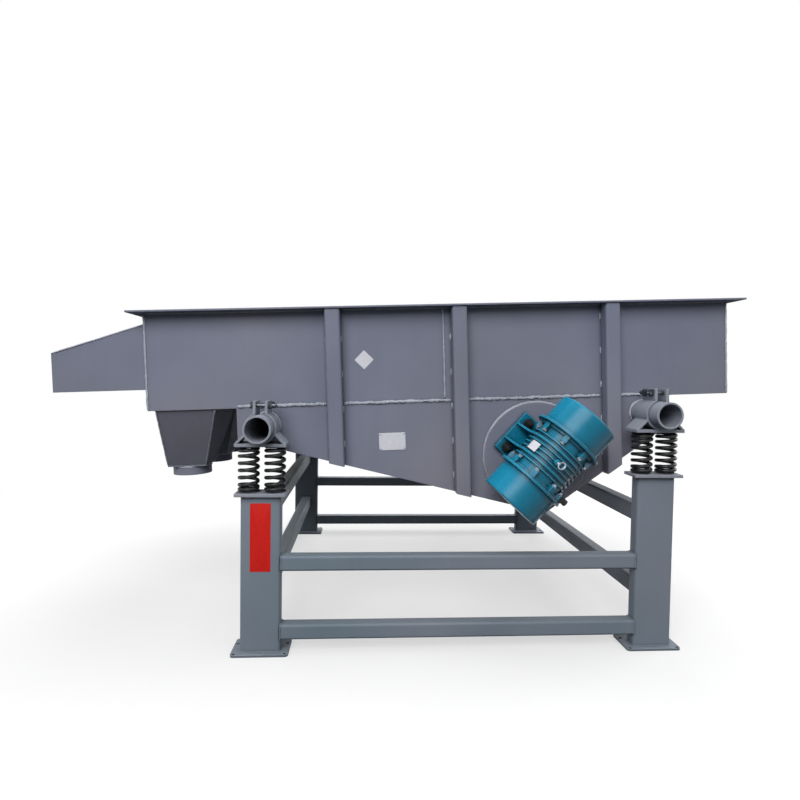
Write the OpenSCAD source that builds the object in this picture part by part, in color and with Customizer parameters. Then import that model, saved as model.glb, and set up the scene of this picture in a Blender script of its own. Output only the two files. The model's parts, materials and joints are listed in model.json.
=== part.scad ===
// Linear vibrating screen. A tilted, open-topped screen box stands on eight coil springs over a
// welded tube base, and is shaken by one vibration motor on each side.
// Millimetres, +Z up. The feed end is at +X, the discharge chute at -X, the front at -Y.
// The box pieces are drawn along u, y and w: u runs along the tilted floor of the box and w
// square to it. The tilt turns u and w about the middle of the base at floor level.

/* [Base frame] */
// Distance between the leg centres along the machine
leg_spacing = 1320; // [1200:10:1440]
// Width of a leg tube, seen from the front
leg_w = 130; // [110:1:150]
// Depth of a leg tube, across the machine
leg_d = 50; // [40:1:60]
// Wall of the leg tubes
leg_wall = 5; // [3:0.5:8]
// Top of the legs at the discharge end, above the floor
leg_h_discharge = 520; // [500:1:540]
// Top of the legs at the feed end, above the floor
leg_h_feed = 587; // [565:1:600]
// Side of the square rails between the legs of one side
rail_size = 50; // [40:1:60]
// Wall of the rails and cross beams
rail_wall = 4; // [3:0.5:6]
// Underside of the lower rails
lower_rail_z = 46; // [30:1:80]
// Underside of the upper rails
upper_rail_z = 273; // [240:1:320]
// Width of the cross beams between the two sides
beam_w = 50; // [40:1:60]
// Height of the cross beams
beam_h = 60; // [50:1:70]
// Underside of the lower cross beams
lower_beam_z = 150; // [130:1:190]
// Underside of the upper cross beams
upper_beam_z = 412; // [380:1:430]

/* [Feet and caps] */
// Length of a foot plate
foot_l = 186; // [184:1:220]
// Depth of a foot plate
foot_d = 120; // [118:1:150]
// Thickness of a foot plate
foot_t = 8; // [6:1:16]
// Radius of a foot plate's corners
foot_corner = 11; // [4:1:20]
// Distance the foot plates are set inwards from the leg centres
foot_shift = 15; // [0:1:16]
// Distance between foot bolt holes along the machine
foot_hole_x = 164; // [158:1:166]
// Distance between foot bolt holes across the machine
foot_hole_y = 74; // [68:1:76]
// Diameter of a foot bolt hole
foot_hole_d = 12; // [9:1:14]
// Length of the cap plate that carries the springs
cap_l = 164; // [158:1:190]
// Depth of the cap plate and of the spring seat above it
cap_d = 84; // [80:1:100]
// Thickness of the cap plate
cap_t = 10; // [6:1:14]

/* [Springs] */
// Outer diameter of a coil spring
spring_od = 71; // [60:1:76]
// Diameter of the spring wire
spring_wire = 12; // [8:0.5:13]
// Distance between the two springs of a pair
spring_pair = 85; // [80:1:92]
// Number of turns, closed ones included
spring_turns = 7.5; // [6.5:0.5:8]
// Closed turns at each end of a spring
closed_turns = 1.4; // [1:0.1:1.5]

/* [Box] */
// Tilt of the box, feed end up
tilt = 2.5; // [1.5:0.1:3.5]
// Width over the side walls
box_w = 1304; // [1200:2:1330]
// Height of the side walls
box_h = 327; // [300:1:400]
// Thickness of the side walls and end walls
wall_t = 6; // [4:0.5:10]
// Thickness of the bottom pan
pan_t = 6; // [4:0.5:10]
// Length of the box past the discharge-end cross tube
discharge_overhang = 394; // [370:1:450]
// Length of the box past the feed-end cross tube
feed_overhang = 312; // [250:1:400]
// Floor of the box above the axis of the cross tubes
floor_over_tube = 60; // [56:1:80]
// Reach of the top flange beyond the side walls
flange_side = 55; // [30:1:70]
// Reach of the top flange beyond the end walls
flange_end = 40; // [20:1:60]
// Thickness of the top flange
flange_t = 6; // [4:0.5:10]

/* [Lower plates and ribs] */
// Reach of a lower side plate past the cross tubes
lower_reach = 100; // [80:1:110]
// Height of a lower side plate at its ends
lower_end_h = 105; // [98:1:130]
// Depth of the lower side plate's lowest point below the motor axis
keel_drop = 209; // [200:1:240]
// Distance from the motor axis to that lowest point, towards the feed end
keel_shift = 30; // [10:1:50]
// Width of a stiffening rib
rib_w = 52; // [40:1:60]
// Depth of a stiffening rib
rib_d = 50; // [40:1:54]
// Wall of a stiffening rib
rib_wall = 4; // [3:0.5:6]
// Middle of the first rib, from the discharge end of the box
rib_1 = 629; // [560:1:700]
// Middle of the second rib, from the discharge end of the box
rib_2 = 1060; // [980:1:1080]
// Middle of the third rib, from the discharge end of the box
rib_3 = 1593; // [1580:1:1640]

/* [Screen deck] */
// Underside of the screen mesh above the underside of the box
deck_h = 75; // [70:1:120]
// Thickness of the mesh panel
mesh_t = 6; // [4:0.5:10]
// Height of the deck's lengthwise bars
deck_bar_h = 25; // [20:1:30]
// Thickness of the deck's lengthwise bars
deck_bar_t = 10; // [6:1:14]
// Number of lengthwise bars
deck_bars = 5; // [3:1:7]
// Diameter of the deck's cross tubes
deck_tube_d = 34; // [28:1:38]
// Number of the deck's cross tubes
deck_tubes = 5; // [3:1:7]

/* [Discharge chute] */
// Length of the chute beyond the box
chute_l = 305; // [200:1:400]
// Inside height of the chute at its mouth
chute_mouth_h = 131; // [100:1:150]
// Height of the chute where it leaves the box
chute_root_h = 220; // [180:1:222]

/* [Fines outlets] */
// Number of funnels side by side across the machine
outlets = 4; // [2:1:5]
// Length of a funnel top along the box
funnel_l = 197; // [170:1:230]
// Height of a funnel
funnel_h = 202; // [150:1:240]
// Thickness of the funnel sheet
funnel_t = 4; // [3:0.5:6]
// Distance from the ends of the sill to the funnel tops
funnel_inset = 23; // [15:1:40]
// Diameter of an outlet collar, and side of the square funnel bottom over it
outlet_d = 134; // [110:1:150]
// Height of the round collar below a funnel
collar_h = 36; // [20:1:60]

/* [Cross tubes and saddles] */
// Outer diameter of a cross tube
tube_od = 88; // [76:1:96]
// Wall of a cross tube
tube_wall = 6; // [4:0.5:8]
// Reach of a cross tube past the leg centres
tube_reach = 99; // [80:1:120]
// Height of the cross tubes above the floor at the middle of the machine
tube_height = 770; // [760:1:800]
// Length of a spring seat plate
seat_l = 164; // [158:1:190]
// Thickness of a spring seat plate
seat_t = 10; // [6:1:14]
// Room between a side of the box and the spring seats beside it
saddle_gap = 47; // [40:1:70]
// Underside of the spring seat plate below the tube axis
seat_drop = 60; // [56:1:70]
// Thickness of the split clamp round the tube
clamp_t = 7; // [5:0.5:10]
// Height of the clamp's two ears above the clamp
ear_h = 36; // [25:1:45]
// Thickness of a clamp ear
ear_t = 8; // [6:1:12]
// Gap between the two ears
ear_gap = 30; // [16:1:36]
// Diameter of the pinch bolt holes
ear_hole_d = 13; // [9:1:16]

/* [Motors] */
// Distance from the discharge end of the box to the motor axis
motor_at = 1327; // [1310:1:1340]
// Height of the motor axis below the underside of the box
motor_below = 196; // [192:1:220]
// Angle of the motor shaft to the floor of the box
motor_angle = 45; // [30:1:60]
// Diameter of the round seat plate on the side plate
motor_seat_d = 370; // [340:1:376]
// Thickness of the round seat plate
motor_seat_t = 12; // [8:1:16]
// Room between the motor's end flanges and the seat plate
motor_flange_gap = 7; // [4:1:16]
// Radius of the motor housing
motor_r = 91; // [84:1:94]
// Length between the outer faces of the two end flanges
motor_core_l = 190; // [170:1:210]
// Radius of the end flanges
motor_flange_r = 119; // [110:1:121]
// Radius of the eccentric weight covers
motor_cover_r = 104; // [96:1:108]
// Overall length of the motor
motor_l = 382; // [340:1:400]
// Distance between cooling fins along the shaft
motor_fin_pitch = 16; // [13:0.5:18]
// Number of lugs that hold each end flange
motor_lugs = 8; // [4:1:10]
// Width of the motor foot across the shaft
motor_foot_w = 272; // [250:1:280]
// Length of the motor foot along the shaft
motor_foot_l = 160; // [140:1:164]
// Thickness of the motor foot
motor_foot_t = 20; // [14:1:26]
// Distance between foot bolts across the shaft
motor_bolt_w = 206; // [200:1:216]
// Distance between foot bolts along the shaft
motor_bolt_l = 112; // [100:1:118]
// Diameter of the motor bolt holes
motor_bolt_d = 18; // [14:1:22]
// Diameter of the beam between the two motor seats
motor_beam_d = 159; // [120:1:170]

/* [Hidden] */
$fn = 48;

// The four sides and ends as signs: front and rear along Y, discharge and feed along X
front = -1;
rear = 1;
discharge = -1;
feed = 1;

// Room left where a tube passes through a plate or a spring meets its plates, and at a butt weld
fit_gap = 0.3;
// Reach of a cut past the faces that it opens
cut_past = 1;
// Pitch of a closed end turn of a spring, in wire diameters
closed_pitch = 1.04;
// Points round one turn of a spring, and round its wire
coil_steps = 12;
wire_sides = 6;

// Cross tubes in the frame of the tilted box
tube_w = tube_height * cos(tilt);
function tube_u(end) = (end * leg_spacing / 2 + tube_w * sin(tilt)) / cos(tilt);
function tube_z(end) = tube_u(end) * sin(tilt) + tube_w * cos(tilt);

// The box in its own frame
u0 = tube_u(discharge) - discharge_overhang;
u1 = tube_u(feed) + feed_overhang;
w0 = tube_w + floor_over_tube;
w1 = w0 + box_h;
y_out = box_w / 2;
y_in = y_out - wall_t;
deck_w = w0 + deck_h;
pan_top = w0 + pan_t;

// Chute: its floor carries on from the mesh
chute_floor_w = deck_w - wall_t / 2;
chute_root_w = chute_floor_w + chute_root_h;
chute_mouth_w = chute_floor_w + chute_mouth_h;
chute_end_u = u0 - chute_l;
roof_slope = (chute_root_w - chute_mouth_w) / chute_l;

// Motors and the lower side plates that carry them
motor_u = u0 + motor_at;
motor_w = w0 - motor_below;
keel = [motor_u + keel_shift, motor_w - keel_drop];
lower_u0 = tube_u(discharge) - lower_reach;
lower_u1 = tube_u(feed) + lower_reach;
lower_end_w = w0 - lower_end_h;
function lower_edge(u) = u < keel.x
    ? lower_end_w + (keel.y - lower_end_w) * (u - lower_u0) / (keel.x - lower_u0)
    : keel.y + (lower_end_w - keel.y) * (u - keel.x) / (lower_u1 - keel.x);

// Funnels: a row across the discharge end of the pan, with plumb walls on that side
funnel_u = u0 + funnel_inset;
sill_end_u = funnel_u + funnel_l + funnel_inset;
outlet_u = funnel_u + outlet_d / 2;
outlet_pitch = 2 * y_in / outlets;
outlet_ys = [for (i = [0:outlets - 1]) (i + 0.5) * outlet_pitch - y_in];

// Base: leg centres across the machine, spring seats, and the shift along X that puts the
// middle of the whole object over the origin
leg_y = y_out + saddle_gap + cap_d / 2;
base_w = 2 * leg_y + leg_d;
function leg_h(end) = end == discharge ? leg_h_discharge : leg_h_feed;
function spring_base(end) = leg_h(end) + cap_t;
function spring_h(end) = tube_z(end) - seat_drop - spring_base(end);
function world_x(u, w) = u * cos(tilt) - w * sin(tilt);
x_low = world_x(chute_end_u, chute_mouth_w);
x_high = world_x(u1 + flange_end, w1);
base_x = -(x_low + x_high) / 2;
function leg_x(end) = base_x + end * leg_spacing / 2;

// Motor housing: shaft over the seat plate, fins, end flanges and the gussets in line with two fins
motor_axis_h = motor_flange_r + motor_flange_gap;
motor_fin = 9;
motor_fin_t = 4;
motor_flange_t = 8;
motor_gusset_t = 7;
fin_rows = [-3:3];
gusset_rows = [-2, 2];
// Rim that the lugs stand on, a lug along and round the shaft, and how far it stands over the rim
motor_rim_t = 9;
motor_lug_l = 26;
motor_lug_w = 18;
motor_lug_h = 7;
// Cable gland on a flat boss at the side of the housing: its place along the shaft and its sizes
gland_at = -66;
gland_boss_d = 38;
gland_boss_top = motor_r + motor_fin + motor_lug_h;
gland_nut_d = 34;
gland_neck_d = 22;
gland_h = 34;
// Radius on the outer rims of the covers
cover_round = 5;

// Paints
frame_grey = "#6b727a";
box_grey = "#77777f";
plate_grey = "#70707a";
spring_black = "#17181a";
mesh_steel = "#8d8f90";
motor_teal = "#1e789b";

// Helpers

module slab(low, high) {
    translate(low) cube(high - low);
}

module round_rect(size, r) {
    for (cut = [[2 * r, 0], [0, 2 * r]])
        square(size - cut, center = true);
    for (sx = [-1, 1], sy = [-1, 1])
        translate([sx * (size.x / 2 - r), sy * (size.y / 2 - r)]) circle(r = r);
}

// A rectangular tube along Z from the floor of the helper's own frame, its corners bent round
module box_tube(size, wall, length) {
    linear_extrude(length) difference() {
        round_rect(size, 2 * wall);
        round_rect(size - 2 * [wall, wall], wall);
    }
}

module in_box() {
    translate([base_x, 0, 0]) rotate([0, -tilt, 0]) children();
}

// Turns a piece drawn for the rear side into the front one
module on_side(side) {
    mirror([0, side == front ? 1 : 0, 0]) children();
}

// A plate whose outline is drawn as [u, w], from y0 outwards by its thickness
module upright_plate(y0, thickness) {
    translate([0, y0 + thickness, 0]) rotate([90, 0, 0]) linear_extrude(thickness) children();
}

// Base frame

module leg(side, end) {
    color(frame_grey)
        translate([leg_x(end), side * leg_y, foot_t])
            box_tube([leg_w, leg_d], leg_wall, leg_h(end) - foot_t);
}

module foot_plates() {
    color(frame_grey)
        for (side = [front, rear], end = [discharge, feed])
            translate([leg_x(end), side * leg_y, 0]) linear_extrude(foot_t) difference() {
                translate([0, -side * foot_shift]) round_rect([foot_l, foot_d], foot_corner);
                for (sx = [-1, 1], sy = [-1, 1])
                    translate([sx * foot_hole_x / 2, sy * foot_hole_y / 2]) circle(d = foot_hole_d);
            }
}

module leg_caps() {
    color(frame_grey)
        for (side = [front, rear], end = [discharge, feed])
            translate([leg_x(end) - cap_l / 2, side * leg_y - cap_d / 2, leg_h(end)])
                cube([cap_l, cap_d, cap_t]);
}

module side_rails(side) {
    color(frame_grey)
        for (z = [lower_rail_z, upper_rail_z])
            translate([leg_x(discharge) + leg_w / 2, side * (base_w - rail_size) / 2, z + rail_size / 2])
                rotate([0, 90, 0])
                    box_tube([rail_size, rail_size], rail_wall, leg_spacing - leg_w);
}

module cross_beams(end) {
    span = base_w - 2 * leg_d;
    color(frame_grey)
        for (z = [lower_beam_z, upper_beam_z])
            translate([leg_x(end), span / 2, z + beam_h / 2]) rotate([90, 0, 0])
                box_tube([beam_w, beam_h], rail_wall, span);
}

// Springs

// Height of the wire's middle after some turns: slow over the closed end turns
function coil_rise(turn, rise) =
    let (closed = closed_pitch * spring_wire,
         open = (rise - 2 * closed * closed_turns) / (spring_turns - 2 * closed_turns))
    turn < closed_turns ? closed * turn
    : turn > spring_turns - closed_turns ? rise - closed * (spring_turns - turn)
    : closed * closed_turns + open * (turn - closed_turns);

module coil_spring(height) {
    rise = height - spring_wire - 2 * fit_gap;
    mean_r = (spring_od - spring_wire) / 2;
    steps = round(spring_turns * coil_steps);
    points = [
        for (i = [0:steps], j = [0:wire_sides - 1])
            let (turn = i * spring_turns / steps, a = 360 * turn, b = 360 * (j + 0.5) / wire_sides,
                 r = mean_r + spring_wire / 2 * cos(b))
            [r * cos(a), r * sin(a),
             fit_gap + spring_wire / 2 * (1 + sin(b)) + coil_rise(turn, rise)]
    ];
    walls = [
        for (i = [0:steps - 1], j = [0:wire_sides - 1])
            let (k = (j + 1) % wire_sides, here = i * wire_sides, next = here + wire_sides)
            [here + j, next + j, next + k, here + k]
    ];
    start_cap = [for (j = [0:wire_sides - 1]) j];
    end_cap = [for (j = [wire_sides - 1:-1:0]) steps * wire_sides + j];
    polyhedron(points, concat(walls, [start_cap, end_cap]), convexity = 10);
}

module springs(side, end) {
    color(spring_black)
        for (place = [-1, 1])
            translate([leg_x(end) + place * spring_pair / 2, side * leg_y, spring_base(end)])
                coil_spring(spring_h(end));
}

// Screen box

module side_wall(side) {
    color(box_grey) in_box() on_side(side)
        slab([u0, y_in, w0], [u1, y_out, w1]);
}

module lower_plate(side) {
    color(plate_grey) in_box() on_side(side) upright_plate(y_in, wall_t) difference() {
        polygon([[lower_u0, w0], [lower_u0, lower_end_w], keel, [lower_u1, lower_end_w], [lower_u1, w0]]);
        for (end = [discharge, feed])
            translate([tube_u(end), tube_w]) circle(d = tube_od + 2 * fit_gap);
    }
}

module feed_end_wall() {
    color(box_grey) in_box()
        slab([u1 - wall_t, -y_in, pan_top], [u1, y_in, w1]);
}

// The end wall at the chute is two strips, below and above the opening
module discharge_end_strips() {
    color(box_grey) in_box() {
        slab([u0, -y_in, pan_top], [u0 + wall_t, y_in, chute_floor_w]);
        slab([u0, -y_in, chute_root_w - wall_t], [u0 + wall_t, y_in, w1]);
    }
}

module flange_sides() {
    color(box_grey) in_box()
        for (side = [front, rear]) on_side(side)
            slab([u0 - flange_end, y_in, w1], [u1 + flange_end, y_out + flange_side, w1 + flange_t]);
}

module flange_ends() {
    color(box_grey) in_box() {
        slab([u0 - flange_end, -y_in, w1], [u0 + wall_t, y_in, w1 + flange_t]);
        slab([u1 - wall_t, -y_in, w1], [u1 + flange_end, y_in, w1 + flange_t]);
    }
}

// Square tubes on the outside of a side, from the flange to the edge of the lower plate
module ribs(side) {
    color(box_grey) in_box() on_side(side)
        for (at = [rib_1, rib_2, rib_3])
            let (a = u0 + at - rib_w / 2, b = a + rib_w)
            intersection() {
                translate([u0 + at, y_out + rib_d / 2, keel.y])
                    box_tube([rib_w, rib_d], rib_wall, w1 - keel.y);
                upright_plate(y_out, rib_d)
                    polygon([[a, lower_edge(a)], [b, lower_edge(b)], [b, w1], [a, w1]]);
            }
}

module bottom_pan() {
    color(box_grey) in_box()
        slab([sill_end_u + fit_gap, -y_in, w0], [u1, y_in, pan_top]);
}

// The end of the pan that holds the funnels, with a hole over each
module outlet_sill() {
    hole = [funnel_l, outlet_pitch] - 2 * [funnel_t, funnel_t];
    color(box_grey) in_box() translate([0, 0, w0]) linear_extrude(pan_t) difference() {
        translate([u0, -y_in]) square([sill_end_u - u0, 2 * y_in]);
        for (y = outlet_ys)
            translate([funnel_u + funnel_l / 2, y]) square(hole, center = true);
    }
}

// Round tubes from wall to wall under the bars
module deck_tubes() {
    step = (u1 - u0) / deck_tubes;
    axis_w = deck_w - deck_bar_h - fit_gap - deck_tube_d / 2;
    color(frame_grey) in_box()
        for (i = [0:deck_tubes - 1])
            translate([u0 + (i + 0.5) * step, y_in, axis_w]) rotate([90, 0, 0])
                cylinder(d = deck_tube_d, h = 2 * y_in);
}

// Flat bars on edge along the box, which carry the mesh
module deck_bars() {
    step = 2 * y_in / (deck_bars + 1);
    color(frame_grey) in_box()
        for (i = [1:deck_bars])
            let (y = i * step - y_in)
            slab([u0 + wall_t, y - deck_bar_t / 2, deck_w - deck_bar_h],
                 [u1 - wall_t, y + deck_bar_t / 2, deck_w]);
}

module screen_mesh() {
    color(mesh_steel) in_box()
        slab([u0 + wall_t, -y_in, deck_w], [u1 - wall_t, y_in, deck_w + mesh_t]);
}

// Discharge chute

module chute_floor() {
    color(box_grey) in_box()
        slab([chute_end_u, -y_in, chute_floor_w], [u0 + wall_t, y_in, chute_floor_w + wall_t / 2]);
}

module chute_roof() {
    color(box_grey) in_box() upright_plate(-y_in, 2 * y_in) polygon([
        [u0, chute_root_w], [chute_end_u, chute_mouth_w],
        [chute_end_u, chute_mouth_w - wall_t], [u0, chute_root_w - wall_t]
    ]);
}

module chute_sides() {
    color(box_grey) in_box()
        for (side = [front, rear]) on_side(side) upright_plate(y_in, wall_t) polygon([
            [u0, chute_floor_w], [u0, chute_root_w],
            [chute_end_u, chute_mouth_w], [chute_end_u, chute_floor_w]
        ]);
}

// Fines outlets

// A trapezium hung from [low, high] at the pan down to [a, b] at the funnel's foot
module funnel_face(low, high, a, b, depth) {
    linear_extrude(depth) polygon([[low, 0], [high, 0], [b, -funnel_h], [a, -funnel_h]]);
}

// The flat-sided body of a funnel, drawn in by a sheet thickness for its inside
module funnel_form(sheet) {
    half_top = outlet_pitch / 2 - sheet;
    half_foot = outlet_d / 2 - sheet;
    intersection() {
        translate([0, outlet_pitch / 2, 0]) rotate([90, 0, 0])
            funnel_face(sheet, funnel_l - sheet, sheet, outlet_d - sheet, outlet_pitch);
        rotate([90, 0, 90]) funnel_face(-half_top, half_top, -half_foot, half_foot, funnel_l);
    }
}

module outlet_funnels() {
    color(plate_grey) in_box()
        for (y = outlet_ys)
            translate([funnel_u, y, w0]) difference() {
                funnel_form(0);
                funnel_form(funnel_t);
            }
}

// A square plate that closes the funnel's foot, with a round collar below it
module outlet_collars() {
    bore = outlet_d - 2 * funnel_t;
    color(plate_grey) in_box()
        for (y = outlet_ys)
            translate([outlet_u, y, w0 - funnel_h]) difference() {
                union() {
                    translate([0, 0, -funnel_t]) linear_extrude(funnel_t) square(outlet_d, center = true);
                    translate([0, 0, -collar_h]) cylinder(d = outlet_d, h = collar_h - funnel_t);
                }
                translate([0, 0, -collar_h - cut_past]) cylinder(d = bore, h = collar_h + 2 * cut_past);
            }
}

// Cross tubes and the saddles that clamp them over the springs

module cross_tube(end) {
    half = leg_y + tube_reach;
    color(box_grey) translate([leg_x(end), half, tube_z(end)]) rotate([90, 0, 0])
        linear_extrude(2 * half) difference() {
            circle(d = tube_od);
            circle(d = tube_od - 2 * tube_wall);
        }
}

// Outline of a saddle round the tube axis: seat plate, two leaning plates and the split clamp
module saddle_outline() {
    seat_top = seat_t - seat_drop;
    lean = seat_t / 2;
    clamp_r = tube_od / 2 + fit_gap + clamp_t;
    difference() {
        union() {
            translate([-seat_l / 2, -seat_drop]) square([seat_l, seat_t]);
            for (end = [0, 1]) mirror([end, 0]) polygon([
                [seat_l / 2, seat_top], [seat_l / 2 - 2 * lean, seat_top],
                [0, seat_top + seat_l / 2 - 2 * lean], [0, seat_top + seat_l / 2]
            ]);
            circle(r = clamp_r);
            for (s = [-1, 1])
                translate([s * (ear_gap + ear_t) / 2 - ear_t / 2, 0]) square([ear_t, clamp_r + ear_h]);
        }
        circle(d = tube_od + 2 * fit_gap);
        translate([-ear_gap / 2, 0]) square([ear_gap, clamp_r + ear_h]);
    }
}

module saddles(side) {
    bolt_z = tube_od / 2 + clamp_t + ear_h * 0.6;
    color(frame_grey)
        for (end = [discharge, feed])
            translate([leg_x(end), side * leg_y, tube_z(end)]) difference() {
                translate([0, cap_d / 2, 0]) rotate([90, 0, 0]) linear_extrude(cap_d) saddle_outline();
                for (s = [-1, 1])
                    translate([-ear_gap, s * cap_d / 4, bolt_z]) rotate([0, 90, 0])
                        cylinder(d = ear_hole_d, h = 2 * ear_gap);
            }
}

// Motors

module motor_beam() {
    color(plate_grey) in_box() translate([motor_u, y_in, motor_w]) rotate([90, 0, 0])
        linear_extrude(2 * y_in) difference() {
            circle(d = motor_beam_d);
            circle(d = motor_beam_d - 2 * tube_wall);
        }
}

module motor_seats() {
    color(plate_grey) in_box()
        for (side = [front, rear]) on_side(side) upright_plate(y_out, motor_seat_t)
            translate([motor_u, motor_w]) circle(d = motor_seat_d);
}

// The motor's own frame: X along the shaft, Y outwards from the seat plate
module on_motor(side) {
    in_box() on_side(side) translate([motor_u, y_out + motor_seat_t, motor_w])
        rotate([0, -motor_angle, 0]) children();
}

// Turned shape about the shaft, its outline drawn as [radius, place along the shaft]
module turned() {
    translate([0, motor_axis_h, 0]) rotate([0, 90, 0]) rotate_extrude() children();
}

// Outline of a gusset: as wide as the foot below, swept up in a hollow curve into a ring
module gusset_outline() {
    ring_r = motor_r + motor_fin;
    spread = motor_foot_w / 2 - ring_r;
    rise = motor_axis_h - motor_foot_t - motor_gusset_t;
    sweep_r = (spread * spread + rise * rise) / (2 * spread);
    translate([0, motor_axis_h]) circle(r = ring_r);
    difference() {
        translate([-motor_foot_w / 2, 0]) square([motor_foot_w, motor_axis_h]);
        for (s = [-1, 1])
            translate([s * (ring_r + sweep_r), motor_axis_h]) circle(r = sweep_r);
    }
}

// Housing about the shaft: barrel, fins, and at each end a rim and a flange
module motor_housing() {
    half = motor_core_l / 2;
    turned() {
        translate([0, -half]) square([motor_r, motor_core_l]);
        for (i = fin_rows)
            translate([0, i * motor_fin_pitch - motor_fin_t / 2]) square([motor_r + motor_fin, motor_fin_t]);
        for (end = [0, 1]) mirror([0, end]) translate([0, half - motor_flange_t]) {
            square([motor_flange_r, motor_flange_t]);
            translate([0, -motor_rim_t]) square([motor_r + motor_fin, motor_rim_t]);
        }
    }
}

// Lugs in a ring at each end, with the outward direction midway between two of them
module motor_lug_rings() {
    root = motor_r - motor_fin;
    top = motor_r + motor_fin + motor_lug_h;
    for (s = [-1, 1], i = [0:motor_lugs - 1])
        translate([s * (motor_core_l / 2 - motor_flange_t - motor_lug_l / 2), motor_axis_h, 0])
            rotate([(i + 0.5) * 360 / motor_lugs, 0, 0])
                slab([-motor_lug_l / 2, root, -motor_lug_w / 2], [motor_lug_l / 2, top, motor_lug_w / 2]);
}

// The side of the housing that faces down, at the gland's place along the shaft
module at_gland() {
    translate([gland_at, motor_axis_h, 0]) rotate([180, 0, 0]) children();
}

module motor(side) {
    color(motor_teal) on_motor(side) difference() {
        union() {
            motor_housing();
            motor_lug_rings();
            at_gland() cylinder(d = gland_boss_d, h = gland_boss_top);
            slab([-motor_foot_l / 2, 0, -motor_foot_w / 2], [motor_foot_l / 2, motor_foot_t, motor_foot_w / 2]);
            for (i = gusset_rows)
                translate([i * motor_fin_pitch - motor_gusset_t / 2, 0, 0]) rotate([0, 90, 0])
                    linear_extrude(motor_gusset_t) gusset_outline();
        }
        for (sx = [-1, 1], sz = [-1, 1])
            translate([sx * motor_bolt_l / 2, motor_foot_t + cut_past, sz * motor_bolt_w / 2])
                rotate([90, 0, 0]) cylinder(d = motor_bolt_d, h = motor_foot_t + 2 * cut_past);
    }
}

module motor_covers(side) {
    length = (motor_l - motor_core_l) / 2;
    color(motor_teal) on_motor(side) turned()
        for (end = [0, 1]) mirror([0, end]) translate([0, motor_core_l / 2]) {
            square([motor_cover_r, length - cover_round]);
            square([motor_cover_r - cover_round, length]);
            translate([motor_cover_r - cover_round, length - cover_round]) circle(r = cover_round);
        }
}

// A hexagon nut and a round neck on each gland boss
module motor_glands() {
    color(spring_black)
        for (side = [front, rear]) on_motor(side) at_gland() translate([0, 0, gland_boss_top]) {
            cylinder(d = gland_nut_d, h = gland_h / 2, $fn = 6);
            cylinder(d = gland_neck_d, h = gland_h);
        }
}

leg(front, discharge);  // leg_front_left
leg(front, feed);  // leg_front_right
leg(rear, discharge);  // leg_rear_left
leg(rear, feed);  // leg_rear_right
foot_plates();
leg_caps();
side_rails(front);  // front_rails
side_rails(rear);  // rear_rails
cross_beams(discharge);  // discharge_beams
cross_beams(feed);  // feed_beams
springs(front, discharge);  // springs_front_left
springs(front, feed);  // springs_front_right
springs(rear, discharge);  // springs_rear_left
springs(rear, feed);  // springs_rear_right
side_wall(front);  // front_side_wall
side_wall(rear);  // rear_side_wall
lower_plate(front);  // front_lower_plate
lower_plate(rear);  // rear_lower_plate
feed_end_wall();
discharge_end_strips();
flange_sides();
flange_ends();
ribs(front);  // front_ribs
ribs(rear);  // rear_ribs
bottom_pan();
outlet_sill();
deck_tubes();
deck_bars();
screen_mesh();
chute_floor();
chute_roof();
chute_sides();
outlet_funnels();
outlet_collars();
cross_tube(discharge);  // discharge_tube
cross_tube(feed);  // feed_tube
saddles(front);  // front_saddles
saddles(rear);  // rear_saddles
motor_beam();
motor_seats();
motor(front);  // motor_front
motor(rear);  // motor_rear
motor_covers(front);  // motor_covers_front
motor_covers(rear);  // motor_covers_rear
motor_glands();
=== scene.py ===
# %% [markdown]
# # A linear vibrating screen in a white studio
# The machine is a tilted steel box on coil springs, with a finned motor on each side that shakes it.
# Its plates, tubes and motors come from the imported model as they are. This lesson adds what the
# welder, the fitter and the painter leave on them: weld beads, bolts, springs with ground ends, a
# woven deck, blank plates, and a finish for every surface.

# %% Load the frame
import json
import math

import bmesh
import bpy
import numpy as np
from mathutils import Matrix, Vector


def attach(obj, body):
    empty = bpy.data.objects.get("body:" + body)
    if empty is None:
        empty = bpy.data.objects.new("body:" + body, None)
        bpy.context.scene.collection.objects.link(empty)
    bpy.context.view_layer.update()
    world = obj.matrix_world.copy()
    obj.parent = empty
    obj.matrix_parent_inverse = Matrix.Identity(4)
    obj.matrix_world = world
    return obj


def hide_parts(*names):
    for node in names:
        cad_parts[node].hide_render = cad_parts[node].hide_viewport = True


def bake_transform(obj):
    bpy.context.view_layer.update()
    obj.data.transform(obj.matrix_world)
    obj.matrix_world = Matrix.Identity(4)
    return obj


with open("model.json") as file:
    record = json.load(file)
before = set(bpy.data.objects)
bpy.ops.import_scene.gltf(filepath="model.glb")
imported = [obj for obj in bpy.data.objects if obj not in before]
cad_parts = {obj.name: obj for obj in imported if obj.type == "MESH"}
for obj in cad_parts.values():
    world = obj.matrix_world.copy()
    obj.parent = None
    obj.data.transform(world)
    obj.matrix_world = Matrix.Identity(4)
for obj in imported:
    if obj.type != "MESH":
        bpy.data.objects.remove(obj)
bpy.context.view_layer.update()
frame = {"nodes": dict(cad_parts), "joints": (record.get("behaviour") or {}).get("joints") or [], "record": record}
nodes = frame["nodes"]
MM = 0.001

# %% [markdown]
# ## Reading the work
# A welder measures from the work and not from the drawing. Here too, places are read from the
# vertices of the solid nodes, so a bead still meets its plate when a size in the model changes. All
# sizes below are in millimetres, and only finished points become metres.

# %% Measuring helpers
X_AXIS, Y_AXIS, Z_AXIS = np.eye(3)
SIDES = {"front": -1, "rear": 1}


def vertices(name):
    """Every vertex of a node as one array, in millimetres."""
    mesh = nodes[name].data
    flat = np.empty(3 * len(mesh.vertices))
    mesh.vertices.foreach_get("co", flat)
    return flat.reshape(-1, 3) / MM


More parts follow.
